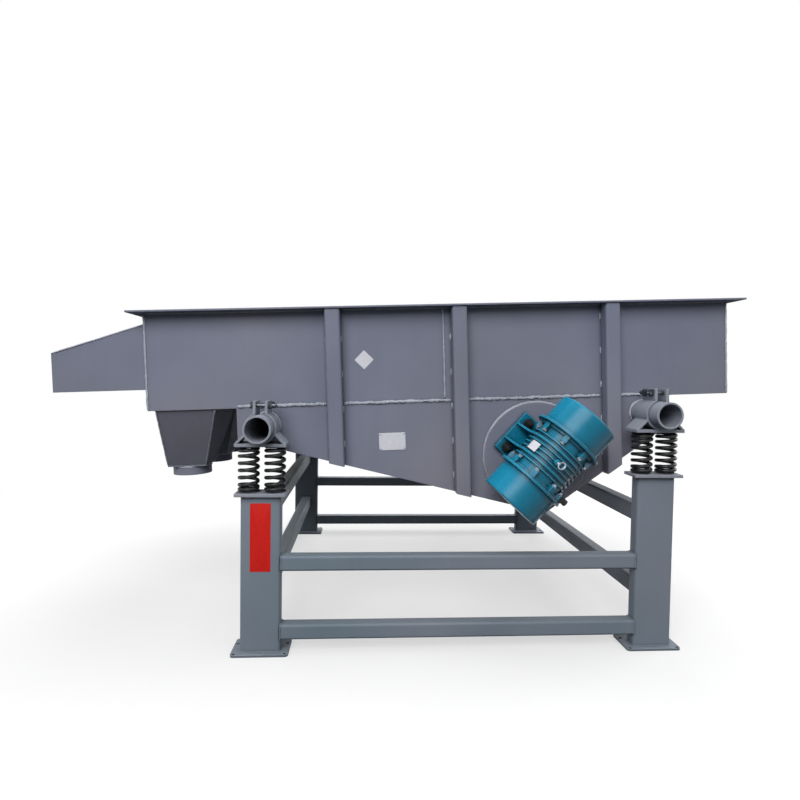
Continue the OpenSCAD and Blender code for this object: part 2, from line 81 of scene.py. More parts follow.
def middle(points):
    """Half way between the lowest and the highest corner of some points."""
    return (points.min(0) + points.max(0)) / 2


def unit(vector):
    """The same direction with length one, along the last axis of an array."""
    vector = np.asarray(vector, float)
    return vector / np.linalg.norm(vector, axis=-1, keepdims=True)


def spans(values, gap):
    """Numbers in order, cut where neighbours lie further apart than gap: the low and high of each run."""
    ordered = np.sort(values)
    cut = np.flatnonzero(np.diff(ordered) > gap)
    return np.stack([ordered[np.r_[0, cut + 1]], ordered[np.r_[cut, len(ordered) - 1]]], axis=1)


print("a leg measures", np.ptp(vertices("leg_front_left"), axis=0).round(), "mm")

# %% [markdown]
# ## The tilted box
# The box leans a few degrees so that gravel walks down it. Turning every point by that angle would
# work, but it hides where things are. It is plainer to give the box two directions of its own. On a
# slab that rises towards +X, the lowest corner and the corner furthest along +X share one edge, and
# that edge is the length of the box.

# %% Directions of the box
wall = vertices("front_side_wall")
low_end = wall[np.argmin(wall[:, 2])] * (X_AXIS + Z_AXIS)
far_end = wall[np.argmax(wall[:, 0])] * (X_AXIS + Z_AXIS)
ALONG = unit(far_end - low_end)
UP = np.cross(ALONG, Y_AXIS)
BOX_L, BOX_H = np.linalg.norm(far_end - low_end), np.ptp(wall @ UP)
SIDE_Y, INNER_Y = np.abs(wall[:, 1]).max(), np.abs(wall[:, 1]).min()
WALL_T = SIDE_Y - INNER_Y


def in_box(a, y, h):
    """Points a along the box from its discharge end, y across and h above its underside."""
    a, y, h = (np.asarray(v, float)[..., None] for v in (a, y, h))
    return low_end + a * ALONG + y * Y_AXIS + h * UP


def reach(name, axis):
    """Lowest and highest place of a node along a direction of the box, from the same corner."""
    places = (vertices(name) - low_end) @ axis
    return places.min(), places.max()


RIBS = spans((vertices("front_ribs") - low_end) @ ALONG, gap=100)
print(f"box {BOX_L:.0f} x {2 * SIDE_Y:.0f} x {BOX_H:.0f} mm, ribs at {RIBS.mean(1).round()}")

# %% [markdown]
# ## The motor shaft
# Each motor spins two weights, and the box is thrown square to their shaft. So the slide joint's
# axis, turned a quarter about Y, is the shaft. Bolts and lugs sit on circles round it, which makes a
# place along the shaft, a radius and a turn the natural way to say where they are.

# %% Directions of the motor
THROW = np.array(frame["joints"][0]["axis"])
SHAFT = np.cross(Y_AXIS, THROW)
seats = vertices("motor_seats")
SEAT_MID, SEAT_FACE, SEAT_R = middle(seats), np.abs(seats[:, 1]).max(), np.ptp(seats[:, 2]) / 2
SHAFT_H = 126  # from the seat plate to the middle of the shaft


def on_motor(side, s, out, c):
    """Points s along the shaft, out from the seat plate and c along the throw, on one side."""
    s, out, c = (np.asarray(v, float)[..., None] for v in (s, out, c))
    return SEAT_MID + s * SHAFT + side * (SEAT_FACE + out) * Y_AXIS + c * THROW


def round_shaft(side, s, radius, turn):
    """Points at a radius from the shaft. Turn is 0 straight out from the seat, and grows along the throw."""
    return on_motor(side, s, SHAFT_H + radius * np.cos(turn), radius * np.sin(turn))


print("shaft along", SHAFT.round(3), "on seats of radius", SEAT_R.round())

# %% [markdown]
# ## Camera
# The picture is taken from in front of the discharge half, a little below the rim of the box, with a
# wide lens quite close by. The lens and the place follow from how the legs, the rails and the box corners
# line up. A camera that first looks straight along +Y is turned by yaw, pitch and roll, one at a
# time, because that order is the easiest one to correct.

# %% Camera
LENS, SENSOR, SIGHT = 25.384, 36.0, 60
CAMERA_AT = np.array([-145.1, -2600.4, 903.3]) * MM
YAW, PITCH, ROLL = -0.0650, 0.0361, 0.0149


def linked(name, data):
    """A new object for this data, linked to the scene."""
    made = bpy.data.objects.new(name, data)
    bpy.context.scene.collection.objects.link(made)
    return made


camera_data = bpy.data.cameras.new("camera")
camera_data.lens, camera_data.sensor_width, camera_data.clip_end = LENS, SENSOR, SIGHT
camera = linked("camera", camera_data)
camera.matrix_world = (Matrix.Translation(CAMERA_AT) @ Matrix.Rotation(YAW, 4, "Z")
                       @ Matrix.Rotation(math.pi / 2 - PITCH, 4, "X") @ Matrix.Rotation(ROLL, 4, "Z"))
bpy.context.scene.camera = camera
print("camera at", CAMERA_AT.round(3))

# %% [markdown]
# ## Surfaces from arrays
# Every new shape here is a grid of points: rows along something, columns round or across it. Two
# index arrays shifted by one give all its quads at once, which is quicker and shorter than adding
# faces one by one. Where a row shrinks to a point, merging doubles turns its quads into triangles, so
# poles close by themselves.

# %% Grids and pieces
def lattice(points, wrap_rows=False, wrap_columns=False):
    """A grid of shape (rows, columns, 3) as flat points and quads, joined to itself where it wraps."""
    rows, columns = points.shape[:2]
    index = np.arange(rows * columns).reshape(rows, columns)
    index = np.vstack([index, index[:1]]) if wrap_rows else index
    index = np.hstack([index, index[:, :1]]) if wrap_columns else index
    corners = index[:-1, :-1], index[:-1, 1:], index[1:, 1:], index[1:, :-1]
    return points.reshape(-1, 3), np.stack(corners, axis=-1).reshape(-1, 4)


def join(shapes):
    """Several shapes as one: each set of quads is moved past the points before it."""
    firsts = np.cumsum([0] + [len(points) for points, _ in shapes])
    quads = [quads + first for (_, quads), first in zip(shapes, firsts)]
    return np.vstack([points for points, _ in shapes]), np.vstack(quads)


def piece(name, shape, material, body, slot, sharp=35):
    """Makes an object from a shape in millimetres, closes its poles, and fixes it to a body if it has one."""
    points, quads = shape
    mesh = bpy.data.meshes.new(name)
    mesh.from_pydata(points * MM, [], quads.tolist())
    work = bmesh.new()
    work.from_mesh(mesh)
    bmesh.ops.remove_doubles(work, verts=work.verts, dist=1e-6)
    bmesh.ops.recalc_face_normals(work, faces=work.faces)
    work.to_mesh(mesh)
    work.free()
    mesh.polygons.foreach_set("use_smooth", np.ones(len(mesh.polygons), bool))
    mesh.set_sharp_from_angle(angle=math.radians(sharp))
    mesh.materials.append(material)
    made = linked(name, mesh)
    if body:
        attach(made, body)
    print(f"{name}: {len(mesh.polygons)} faces")
    return made


print("a grid of 3 x 4 points has", len(lattice(np.zeros((3, 4, 3)))[1]), "quads")

# %% [markdown]
# ## Colours and nodes
# Paint codes are written as they look on a screen, in sRGB. Shaders count light, which is linear, so
# one function turns the codes over. One more adds a shader node together with its settings and
# links. With those two, each finish reads as a list of steps.

# %% Shader helpers
def linear(code):
    """A hex colour as linear red, green and blue, each ((c + 0.055) / 1.055) to the power 2.4, and alpha."""
    value = np.array([int(code[i:i + 2], 16) for i in (1, 3, 5)]) / 255
    value = np.where(value <= 0.04045, value / 12.92, ((value + 0.055) / 1.055) ** 2.4)
    return (*value.tolist(), 1.0)


def add(tree, kind, inputs=(), **settings):
    """Adds a shader node. Each input is a value for its socket, or a node or one output to link to it."""
    made = tree.nodes.new("ShaderNode" + kind)
    for name, value in settings.items():
        setattr(made, name, value)
    for key, value in dict(inputs).items():
        if isinstance(value, bpy.types.Node):
            value = next(output for output in value.outputs if output.enabled)
        if isinstance(value, bpy.types.NodeSocket):
            tree.links.new(value, made.inputs[key])
        else:
            made.inputs[key].default_value = value
    return made


def start_material(name):
    """An empty material, its node tree, and the point being shaded in the object's own metres."""
    material = bpy.data.materials.new(name)
    material.use_nodes = True
    material.node_tree.nodes.clear()
    return material, material.node_tree, add(material.node_tree, "TexCoord").outputs["Object"]


def per_metre(size):
    """The noise scale whose features are about this many millimetres across."""
    return 1 / (size * MM)


print("middle grey on a screen is", round(linear("#808080")[0], 3), "in light")

# %% [markdown]
# ## Painted corner shade and bright edges
# Corners and the gaps between fins are darkened in the colour as painted shade, and outer edges are
# made paler, partly as rubbed paint and partly as painted highlight. Both could be painted on by hand,
# but two nodes find the places. Ambient Occlusion tells how close other faces stand, and the rounded
# normal of the Bevel node leaves the true one near an edge. It does so in inner corners too, so an
# edge counts only where nothing stands close.

# %% Painted shade and bright edges
FLAT, EDGE = 0.985, 0.8  # cosines between the two normals


def painted_shade_and_edges(tree, painted_shade_reach, darkest, edge_r):
    """Upward normal, painted shade in corners, edge mask of rubbed paint and painted highlight, rounded normal."""
    true_normal = add(tree, "NewGeometry").outputs["Normal"]
    upward = add(tree, "SeparateXYZ", {0: true_normal}).outputs[2]
    # Ambient Occlusion darkens the colour near other faces: painted shade in corners
    near = add(tree, "AmbientOcclusion", {"Distance": painted_shade_reach * MM}, samples=6).outputs["AO"]
    painted_occlusion_shade = add(tree, "MapRange", {0: near, 1: 0.45, 2: 0.9, 3: darkest, 4: 1.0})
    rounded_normal = add(tree, "Bevel", {"Radius": edge_r * MM}, samples=6)
    flat = add(tree, "VectorMath", {0: rounded_normal, 1: true_normal}, operation="DOT_PRODUCT")
    edge = add(tree, "MapRange", {0: flat, 1: FLAT, 2: EDGE, 3: 0.0, 4: 1.0})
    in_the_open = add(tree, "MapRange", {0: near, 1: 0.6, 2: 0.85})
    # Outer edges in the open: a mask for rubbed paint and painted highlight
    wear_and_highlight_mask = add(tree, "Math", {0: edge, 1: in_the_open}, operation="MULTIPLY")
    return upward, painted_occlusion_shade, wear_and_highlight_mask, rounded_normal


print("an edge shows where the normal turns by", round(math.degrees(math.acos(FLAT))), "degrees or more")

# %% [markdown]
# ## Satin machine paint
# The frame and the box are sprayed with grey alkyd machine paint over welded plate. It has a soft
# sheen, a fine orange peel, and clouds of a warmer and a cooler grey where the coat is uneven and the
# plate under it is a little buckled. Dust settles on what faces up and rain leaves faint streaks. The
# gun reaches undersides only at a slant, so they stay dry and rough, and their colour is darkened as
# painted shade. A picture of paint would repeat and stretch, so each of these is a noise pattern with
# a size in millimetres.

# %% Satin paint
# The last number is how far the painted shade in corners reaches, in millimetres
TINT, CLOUD, BUCKLE, STREAK, SPECK, CORNER_PAINTED_SHADE_REACH = 800, 420, 260, 34, 16, 14
PEEL = 7  # real orange peel is about 2 mm, and is drawn coarser so that it shows


def satin_paint(name, warm, cool, wear_and_highlight_colour, dust, roughness=0.46, edge_r=3.5, gloss=0.15):
    """Two tints, clouds, streaks, dust, painted shade in corners and on dry rough undersides, edges of wear and
    painted highlight.
    """
    material, tree, where = start_material(name)
    upward, painted_occlusion_shade, wear_and_highlight_mask, rounded_normal = painted_shade_and_edges(tree, CORNER_PAINTED_SHADE_REACH, 0.5, edge_r)
    cloud, tint, speck, buckle, peel = (
        add(tree, "TexNoise", {"Vector": where, "Scale": per_metre(size), "Detail": detail})
        for size, detail in ((CLOUD, 4.0), (TINT, 2.0), (SPECK, 6.0), (BUCKLE, 1.0), (PEEL, 2.0)))
    shade = add(tree, "MapRange", {0: cloud, 1: 0.3, 2: 0.7, 3: 0.88, 4: 1.09})
    # Faces that look down are darkened here as painted shade, and corners too
    painted_underside_shade = add(tree, "MapRange", {0: upward, 1: -0.15, 2: -0.7, 3: 1.0, 4: 0.5})
    underside_and_corner_painted_shade = add(tree, "Math", {0: painted_underside_shade, 1: painted_occlusion_shade}, operation="MULTIPLY")
    cloud_and_painted_shade = add(tree, "Math", {0: shade, 1: underside_and_corner_painted_shade}, operation="MULTIPLY")
    cooler = add(tree, "MapRange", {0: tint, 1: 0.6, 2: 0.38})
    body = add(tree, "Mix", {0: cooler, 6: linear(warm), 7: linear(cool)}, data_type="RGBA")
    coat = add(tree, "Mix", {0: 1.0, 6: body, 7: cloud_and_painted_shade}, data_type="RGBA", blend_type="MULTIPLY")

    down = add(tree, "Mapping", {"Vector": where, "Scale": (1.0, 1.0, 0.07)})
    streak = add(tree, "TexNoise", {"Vector": down, "Scale": per_metre(STREAK), "Detail": 5.0})
    run = add(tree, "MapRange", {0: streak, 1: 0.52, 2: 0.78, 3: 0.0, 4: 0.1})
    streaked = add(tree, "Mix", {0: run, 6: coat, 7: linear(dust)}, data_type="RGBA")

    top = add(tree, "MapRange", {0: upward, 1: 0.55, 2: 0.95, 3: 0.0, 4: 0.45})
    settled = add(tree, "Math", {0: top, 1: speck}, operation="MULTIPLY")
    dusty = add(tree, "Mix", {0: settled, 6: streaked, 7: linear(dust)}, data_type="RGBA")

    # Edges are made paler here, partly as rubbed paint and partly as painted highlight
    patchy = add(tree, "MapRange", {0: speck, 1: 0.36, 2: 0.6, 3: 0.3, 4: 0.9})
    wear_and_highlight_mix = add(tree, "Math", {0: wear_and_highlight_mask, 1: patchy}, operation="MULTIPLY")
    colour = add(tree, "Mix", {0: wear_and_highlight_mix, 6: dusty, 7: linear(wear_and_highlight_colour)}, data_type="RGBA")

    smooth = add(tree, "MapRange", {0: speck, 1: 0.3, 2: 0.7, 3: roughness - 0.06, 4: roughness + 0.1})
    dry = add(tree, "MapRange", {0: upward, 1: -0.05, 2: -0.3, 3: 0.0, 4: 0.95})
    sheen = add(tree, "Math", {0: smooth, 1: dry}, operation="MAXIMUM")
    wavy = add(tree, "Bump", {"Height": buckle, "Strength": 0.3, "Distance": 6 * MM,
                              "Normal": rounded_normal})
    peeled = add(tree, "Bump", {"Height": peel, "Strength": 0.12, "Distance": 0.5 * MM, "Normal": wavy})
    shader = add(tree, "BsdfPrincipled", {"Base Color": colour, "Roughness": sheen, "Normal": peeled,
                                          "Specular IOR Level": gloss})
    add(tree, "OutputMaterial", {"Surface": shader})
    return material


print("clouds of", CLOUD, "mm, streaks of", STREAK, "mm, specks of", SPECK, "mm")

# %% [markdown]
# ## Four coats of it
# One tin of paint dries differently on plate, on tube and on what is handled, and on a weld its colours
# are paler as a painted highlight. Four materials made by hand would drift apart, so one recipe gets
# four sets of colours: a warm and a cool tint, the edge colour of rubbed paint and painted highlight,
# and the dust.

# %% Coats of satin paint
# Sprayed on flat plate: a calm violet grey with wide clouds and pale corners
BOX_PAINT = satin_paint("box_satin_paint", "#7d7d89", "#787d8f", "#abafba", "#8d8f95")
# Sprayed on square tube: the same coat, a little bluer
FRAME_PAINT = satin_paint("frame_satin_paint", "#7c8490", "#74838f", "#b2b9c1", "#8d9398")
# Sprayed on clamps, pipe and caps: a thin and paler coat, bright on every edge as rubbed paint and painted
# highlight
CLAMP_PAINT = satin_paint("clamp_satin_paint", "#90929d", "#88909c", "#cbced5", "#999ca4", edge_r=3)
# Thin and shiny over a bead, so each ripple catches the light, and paler than the plate as a painted highlight
WELD_PAINT_WITH_PAINTED_HIGHLIGHT = satin_paint("weld_paint_with_painted_highlight", "#a8aab4", "#a5aab7", "#d0d3da", "#b1b3ba", roughness=0.3,
                         edge_r=0.8, gloss=0.5)
print("painted:", ", ".join(m.name for m in (BOX_PAINT, FRAME_PAINT, CLAMP_PAINT, WELD_PAINT_WITH_PAINTED_HIGHLIGHT)))

# %% [markdown]
# ## Teal motor enamel
# The motors come from their factory in gloss enamel, over cast iron and rolled covers. It is shinier
# than the machine paint, so it carries clear highlights and darkens quickly away from the light. A
# clear coat on top would whiten it, so one smooth layer does the work. Two tones drift into each other
# with noise, and the slope of the face adds painted shade: what faces up is paler, what faces down
# darker. The gaps between fins are darkened as painted shade, and corners are made paler as rubbed
# paint and painted highlight.

# %% Enamel
# The last number is how far the painted shade between fins reaches, in millimetres
DRIFT, CAST_EDGE, FIN_PAINTED_SHADE_REACH = 120, 3.5, 22
GRAIN = 9  # cast skin has a grain of about 2 mm, and is drawn coarser so that it shows


def gloss_enamel(name, body, deep, wear_and_highlight_colour):
    """Two tones by noise and by slope as painted shade, painted gap shade, corners of wear and painted highlight,
    grain as a low bump.
    """
    material, tree, where = start_material(name)
    upward, painted_occlusion_shade, wear_and_highlight_mask, rounded_normal = painted_shade_and_edges(tree, FIN_PAINTED_SHADE_REACH, 0.32, CAST_EDGE)
    drift = add(tree, "TexNoise", {"Vector": where, "Scale": per_metre(DRIFT), "Detail": 4.0})
    tones = add(tree, "MapRange", {0: drift, 1: 0.3, 2: 0.7, 3: 0.0, 4: 0.4})
    # The slope of the face mixes in the paler tone upwards and the deeper one downwards: painted shade
    painted_slope_shade = add(tree, "MapRange", {0: upward, 1: -0.5, 2: 0.6, 3: -0.2, 4: 0.6})
    noise_and_painted_slope_shade = add(tree, "Math", {0: tones, 1: painted_slope_shade}, operation="ADD", use_clamp=True)
    tone = add(tree, "Mix", {0: noise_and_painted_slope_shade, 6: linear(deep), 7: linear(body)}, data_type="RGBA")
    # The gaps between fins and other corners are darkened here as painted shade
    coat = add(tree, "Mix", {0: 1.0, 6: tone, 7: painted_occlusion_shade}, data_type="RGBA", blend_type="MULTIPLY")
    # Corners are made paler here, partly as rubbed enamel and partly as painted highlight
    wear_and_highlight_mix = add(tree, "Math", {0: wear_and_highlight_mask, 1: 0.8}, operation="MULTIPLY")
    colour = add(tree, "Mix", {0: wear_and_highlight_mix, 6: coat, 7: linear(wear_and_highlight_colour)}, data_type="RGBA")
    grain = add(tree, "TexNoise", {"Vector": where, "Scale": per_metre(GRAIN), "Detail": 3.0})
    sheen = add(tree, "MapRange", {0: grain, 1: 0.3, 2: 0.7, 3: 0.25, 4: 0.31})
    cast = add(tree, "Bump", {"Height": grain, "Strength": 0.06, "Distance": 0.5 * MM,
                              "Normal": rounded_normal})
    shader = add(tree, "BsdfPrincipled", {"Base Color": colour, "Roughness": sheen, "Normal": cast,
                                          "Specular IOR Level": 0.24})
    add(tree, "OutputMaterial", {"Surface": shader})
    return material


# Gloss over castings: teal, paler up and deeper down as painted shade, long soft highlights, pale edges of wear
# and painted highlight
ENAMEL = gloss_enamel("teal_gloss_enamel", "#128aae", "#085f77", "#68b9d4")
print(ENAMEL.name, "has", len(ENAMEL.node_tree.nodes), "nodes")

# %% [markdown]
# ## Small metal finishes
# Spring steel is dipped in black enamel after it is wound. Bolts are zinc plated, oiled or
# blackened. The deck wire is bare drawn steel, and the blank plates are plain film. All of them are
# smooth, so one recipe serves: a fine mottle between two tones, with a roughness and a low bump that
# follow it.

# %% Small metal finishes
MOTTLE = 11


def smooth_finish(name, body, wear_and_highlight_colour, metallic, rough, bump):
    """A mottle between two tones of one smooth surface, with roughness and bump from the same noise."""
    material, tree, where = start_material(name)
    mottle = add(tree, "TexNoise", {"Vector": where, "Scale": per_metre(MOTTLE), "Detail": 6.0})
    amount = add(tree, "MapRange", {0: mottle, 1: 0.35, 2: 0.7})
    colour = add(tree, "Mix", {0: amount, 6: linear(body), 7: linear(wear_and_highlight_colour)}, data_type="RGBA")
    sheen = add(tree, "MapRange", {0: mottle, 1: 0.3, 2: 0.7, 3: rough - 0.07, 4: rough + 0.1})
    pitted = add(tree, "Bump", {"Height": mottle, "Strength": bump, "Distance": 0.4 * MM})
    shader = add(tree, "BsdfPrincipled", {"Base Color": colour, "Roughness": sheen, "Normal": pitted,
                                          "Metallic": metallic, "Specular IOR Level": 0.3})
    add(tree, "OutputMaterial", {"Surface": shader})
    return material


# Dipped enamel on wound wire: black, with a thin bright line along each turn
SPRING_BLACK = smooth_finish("black_dipped_spring", "#0e1012", "#24282b", 0.0, 0.3, 0.05)
# Oiled black oxide on nuts: a soft dark sheen
BLACK_OXIDE = smooth_finish("black_oxide_steel", "#111214", "#24262a", 0.0, 0.4, 0.05)
# Blue passivated zinc plate: a cool pale grey with soft glints
ZINC = smooth_finish("blue_zinc_plate", "#6e7b87", "#98a4ae", 1.0, 0.4, 0.05)
# Oiled steel of clamp bolts: dark, with bright corners
DARK_STEEL = smooth_finish("oiled_dark_steel", "#3d4146", "#6b7076", 1.0, 0.32, 0.05)
# Drawn wire, polished by what slides over it
DRAWN_WIRE = smooth_finish("drawn_steel_wire", "#77797b", "#a3a5a6", 1.0, 0.42, 0.05)
# Blank film, matt and almost white
PALE_FILM = smooth_finish("pale_blank_film", "#d6d7e0", "#cecfd8", 0.0, 0.5, 0.02)
# Blank red film, flat and strong
RED_FILM = smooth_finish("red_blank_film", "#d2160b", "#c8140a", 0.0, 0.45, 0.02)
print(len(bpy.data.materials), "materials so far")

# %% [markdown]
# ## Painting the solids
# The imported solids already have the right shape, so they only get a finish. The record says which
# finish each one takes, and a table from its slots to the materials above saves naming all of
# them here. The cross tubes, their saddles and the leg caps are handled and bolted after they are
# sprayed, so they take a coat of their own with brighter edges, which are partly rubbed paint and
# partly painted highlight.

# %% A finish for every node
SLOT_FINISH = {"frame_paint": FRAME_PAINT, "box_paint": BOX_PAINT, "spring_steel": BLACK_OXIDE,
               "motor_enamel": ENAMEL, "mesh_steel": DRAWN_WIRE}
for sub in frame["record"]["subparts"]:
    mesh = nodes[sub["node"]].data
    mesh.materials.clear()
    mesh.materials.append(SLOT_FINISH[sub["material_slot"]])
for name in ("discharge_tube", "feed_tube", "front_saddles", "rear_saddles", "leg_caps"):
    nodes[name].data.materials[0] = CLAMP_PAINT

# What most new pieces need to be told: their finish, their body and their slot
BOX_WELD = WELD_PAINT_WITH_PAINTED_HIGHLIGHT, "screen_box", "box_paint"
BOX_ZINC = ZINC, "screen_box", "mesh_steel"

# %% [markdown]
# ## Coil springs
# Each corner stands on two springs. A spring is a round wire carried along a helix. Its end turns
# lie close and are ground flat, so the rise per turn starts small, grows, and ends small. Summing that
# rise gives the height at every step, and clipping the wire at the two plates gives the ground faces.
# Blender's Screw modifier gives only an even rise, so the helix is worked out here. A spring crosses
# the joint, from the frame to the box, but here it is one still piece fixed to neither.

# %% Springs
SPRING_OD, WIRE, TURNS, CLOSED_TURNS, CLOSED_PITCH = 71, 12, 7.5, 1.4, 1.04
STEPS_PER_TURN, WIRE_COLUMNS = 48, 14


def ease(t):
    """The S-curve 3 t^2 - 2 t^3 from 0 to 1."""
    t = np.clip(t, 0, 1)
    return t * t * (3 - 2 * t)


def even_turns(count, shift=0):
    """Even angles round one full turn, moved on by a share of a step."""
    return 2 * np.pi * (np.arange(count) + shift) / count


def coil(centre, low, high):
    """Wire round a helix: its rise eases from closed to open and back, and the sum is fitted to the room."""
    turn = np.linspace(0, TURNS, int(TURNS * STEPS_PER_TURN) + 1)
    opened = ease(2 * (turn - CLOSED_TURNS) + 0.5) * ease(2 * (TURNS - CLOSED_TURNS - turn) + 0.5)
    ground = WIRE / 4
    room = high - low - 2 * ground
    closed_rise = CLOSED_PITCH * WIRE
    rise = closed_rise + (room / TURNS - closed_rise) / opened.mean() * opened
    height = low + ground + room * (np.cumsum(rise) - rise[0]) / (rise.sum() - rise[0])
    around, section = 2 * np.pi * turn[:, None], even_turns(WIRE_COLUMNS)
    thick = np.where((turn == 0) | (turn == TURNS), 0, WIRE / 2)[:, None]
    r = (SPRING_OD - WIRE) / 2 + thick * np.cos(section)
    z = np.clip(height[:, None] + thick * np.sin(section), low, high)
    grid = np.stack([centre[0] + r * np.cos(around), centre[1] + r * np.sin(around), z], axis=-1)
    return lattice(grid, wrap_columns=True)


for name in [n for n in nodes if n.startswith("springs_")]:
    points = vertices(name)
    mid, (low, high) = middle(points), (points[:, 2].min(), points[:, 2].max())
    half_pair = (np.ptp(points[:, 0]) - np.ptp(points[:, 1])) / 2
    pair = join([coil(mid + s * half_pair * X_AXIS, low, high) for s in (-1, 1)])
    made = piece(name.replace("springs", "coils"), pair, SPRING_BLACK, None, "spring_steel")
    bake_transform(made)
    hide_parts(name)

# %% [markdown]
# ## Woven deck
# Screen cloth is a plain weave of crimped wire. One wire is a cosine wave that goes over and under
# the wires that cross it, and its neighbour is the same wave half a period on. A picture of a weave
# would be flat, and one object per wire would be slow. So all wires of one direction are one array:
# wire number, by step, by side.

# %% Screen cloth
MESH_PITCH, MESH_WIRE, MESH_SIDES, MESH_ROOM = 20, 3, 4, 4
mesh_low, mesh_top = reach("screen_mesh", UP)
mesh_start, mesh_end = reach("screen_mesh", ALONG)


def wires(lengthwise):
    """All wires of one direction, square in section: height = half a wire times cos(pi (step + number))."""
    run, spread = mesh_end - mesh_start - MESH_ROOM, 2 * INNER_Y - MESH_ROOM
    run, spread = (run, spread) if lengthwise else (spread, run)
    count, crossings = int(spread / MESH_PITCH), int(run / MESH_PITCH)
    number = np.arange(count)[:, None, None]
    step = np.linspace(0, crossings, 2 * crossings + 1)[None, :, None]
    section = even_turns(MESH_SIDES, 0.5)
    wave = np.cos(np.pi * (step + number + (not lengthwise)))
    height = (mesh_low + mesh_top) / 2 + MESH_WIRE / 2 * (wave + np.sin(section))
    place = (step - crossings / 2) * MESH_PITCH + 0 * (number + section)
    beside = (number - (count - 1) / 2) * MESH_PITCH + MESH_WIRE / 2 * np.cos(section) + 0 * step
    a, y = (place, beside) if lengthwise else (beside, place)
    grid = in_box((mesh_start + mesh_end) / 2 + a, y, height)
    tapered = np.concatenate([grid[:, :1].mean(2, keepdims=True).repeat(MESH_SIDES, 2), grid,
                              grid[:, -1:].mean(2, keepdims=True).repeat(MESH_SIDES, 2)], axis=1)
    return join([lattice(wire, wrap_columns=True) for wire in tapered])


long_wires = piece("deck_wires_long", wires(True), DRAWN_WIRE, "screen_box", "mesh_steel", sharp=180)
cross_wires = piece("deck_wires_cross", wires(False), DRAWN_WIRE, "screen_box", "mesh_steel", sharp=180)
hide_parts("screen_mesh")
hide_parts("screen_mesh")

# %% [markdown]
# ## Copies of small shapes
# Bolts, nuts and rivets are turned or hexagonal, and each kind is drawn once about Z. Placing copies
# as linked objects would work in Blender, but one mesh that holds all the copies rides and exports as
# one piece. A product of arrays turns and moves every copy at once.

# %% Turned shapes and copies
def turned(rim, columns=24):
    """Rows of (radius, height), closed on the axis and carried round Z: x = r cos t, y = r sin t."""
    r, z = np.array([(0, rim[0][1]), *rim, (0, rim[-1][1])], float).T[:, :, None]
    t = even_turns(columns)
    return lattice(np.stack([r * np.cos(t), r * np.sin(t), z + 0 * t], axis=-1), wrap_columns=True)


def hex_head(flats, height):
    """A hexagon with chamfered corners: each radius over the cosine of its angle to the nearest flat."""
    apothem = flats / 2
    points, quads = turned([(apothem, 0), (apothem, 0.88 * height), (0.9 * apothem, height)])
    t = np.arctan2(points[:, 1], points[:, 0])
    stretch = 1 / np.cos((t + np.pi / 6) % (np.pi / 3) - np.pi / 6)
    return points * np.stack([stretch, stretch, np.ones_like(t)], axis=1), quads


def washer(d, thickness):
    """A flat disc with a rounded rim, standing on z = 0."""
    bevel = 0.3 * thickness
    return turned([(d / 2, 0), (d / 2, thickness - bevel), (d / 2 - bevel, thickness)])


def raised(shape, z):
    """The same shape, z higher."""
    return shape[0] + z * Z_AXIS, shape[1]


def bolt_head(washer_d, washer_t, flats, height):
    """A hexagon on its washer, as a bolt head or a nut."""
    return join([washer(washer_d, washer_t), raised(hex_head(flats, height), washer_t)])


def stamp(shape, origins, axes, e1=None):
    """Copies of a shape drawn about Z, all in one product: point = origin + x e1 + y e2 + z axis."""
    points, quads = shape
    origins = np.atleast_2d(origins)
    axes = np.broadcast_to(unit(axes), origins.shape)
    if e1 is None:
        e1 = np.cross(np.where(np.abs(axes[:, 2:]) > 0.9, X_AXIS, Z_AXIS), axes)
    e1 = np.broadcast_to(unit(e1), axes.shape)
    turns = np.stack([e1, np.cross(axes, e1), axes], axis=1)
    copies = origins[:, None] + np.einsum("pk,nkd->npd", points, turns)
    firsts = len(points) * np.arange(len(origins))
    return copies.reshape(-1, 3), (quads[None] + firsts[:, None, None]).reshape(-1, 4)


deck_bolt = bolt_head(washer_d=22, washer_t=2, flats=17, height=7)
print("one bolt head has", len(deck_bolt[1]), "quads")

# %% [markdown]
# ## Deck clamps
# The cloth is held down along both walls by a flat bar with a row of bolts. A bar is a rectangle with
# round corners carried from one end to the other. A beveled cube would also do, but the same rounded
# rectangle serves the tube welds and the blank plates further on.

# %% Clamp bars and their bolts
BAR_W, BAR_T, BAR_CORNER, BAR_GAP, BAR_SHORT = 32, 6, 1.5, 1, 20
BAR_BOLTS, FIRST_BOLT = 9, 60


def rounded(size, corner, count=48):
    """A round-cornered rectangle and its outward directions d: sign of d times (half - corner) + corner d."""
    t = even_turns(count, 0.5)
    d = np.stack([np.cos(t), np.sin(t)], axis=1)
    return np.sign(d) * (np.array(size) / 2 - corner) + corner * d, d


def bar(start, end, e1, e2, size, corner):
    """A rounded rectangle carried along a line, with rows of no size to close both ends."""
    section = rounded(size, corner)[0] @ np.stack([e1, e2])
    rows = [start + 0 * section, start + section, end + section, end + 0 * section]
    return lattice(np.stack(rows), wrap_columns=True)


bars, heads = [], []
for side in SIDES.values():
    bar_y, bar_h = side * (INNER_Y - BAR_W / 2 - BAR_GAP), mesh_top + BAR_T / 2
    ends = in_box([mesh_start + BAR_SHORT, mesh_end - BAR_SHORT], bar_y, bar_h)
    bars.append(bar(*ends, Y_AXIS, UP, (BAR_W, BAR_T), BAR_CORNER))
    places = np.linspace(ends[0] + FIRST_BOLT * ALONG, ends[1] - FIRST_BOLT * ALONG, BAR_BOLTS)
    heads.append(stamp(deck_bolt, places + BAR_T / 2 * UP, UP))
piece("deck_clamp_bars", join(bars), BOX_PAINT, "screen_box", "box_paint")
piece("deck_clamp_bolts", join(heads), *BOX_ZINC)

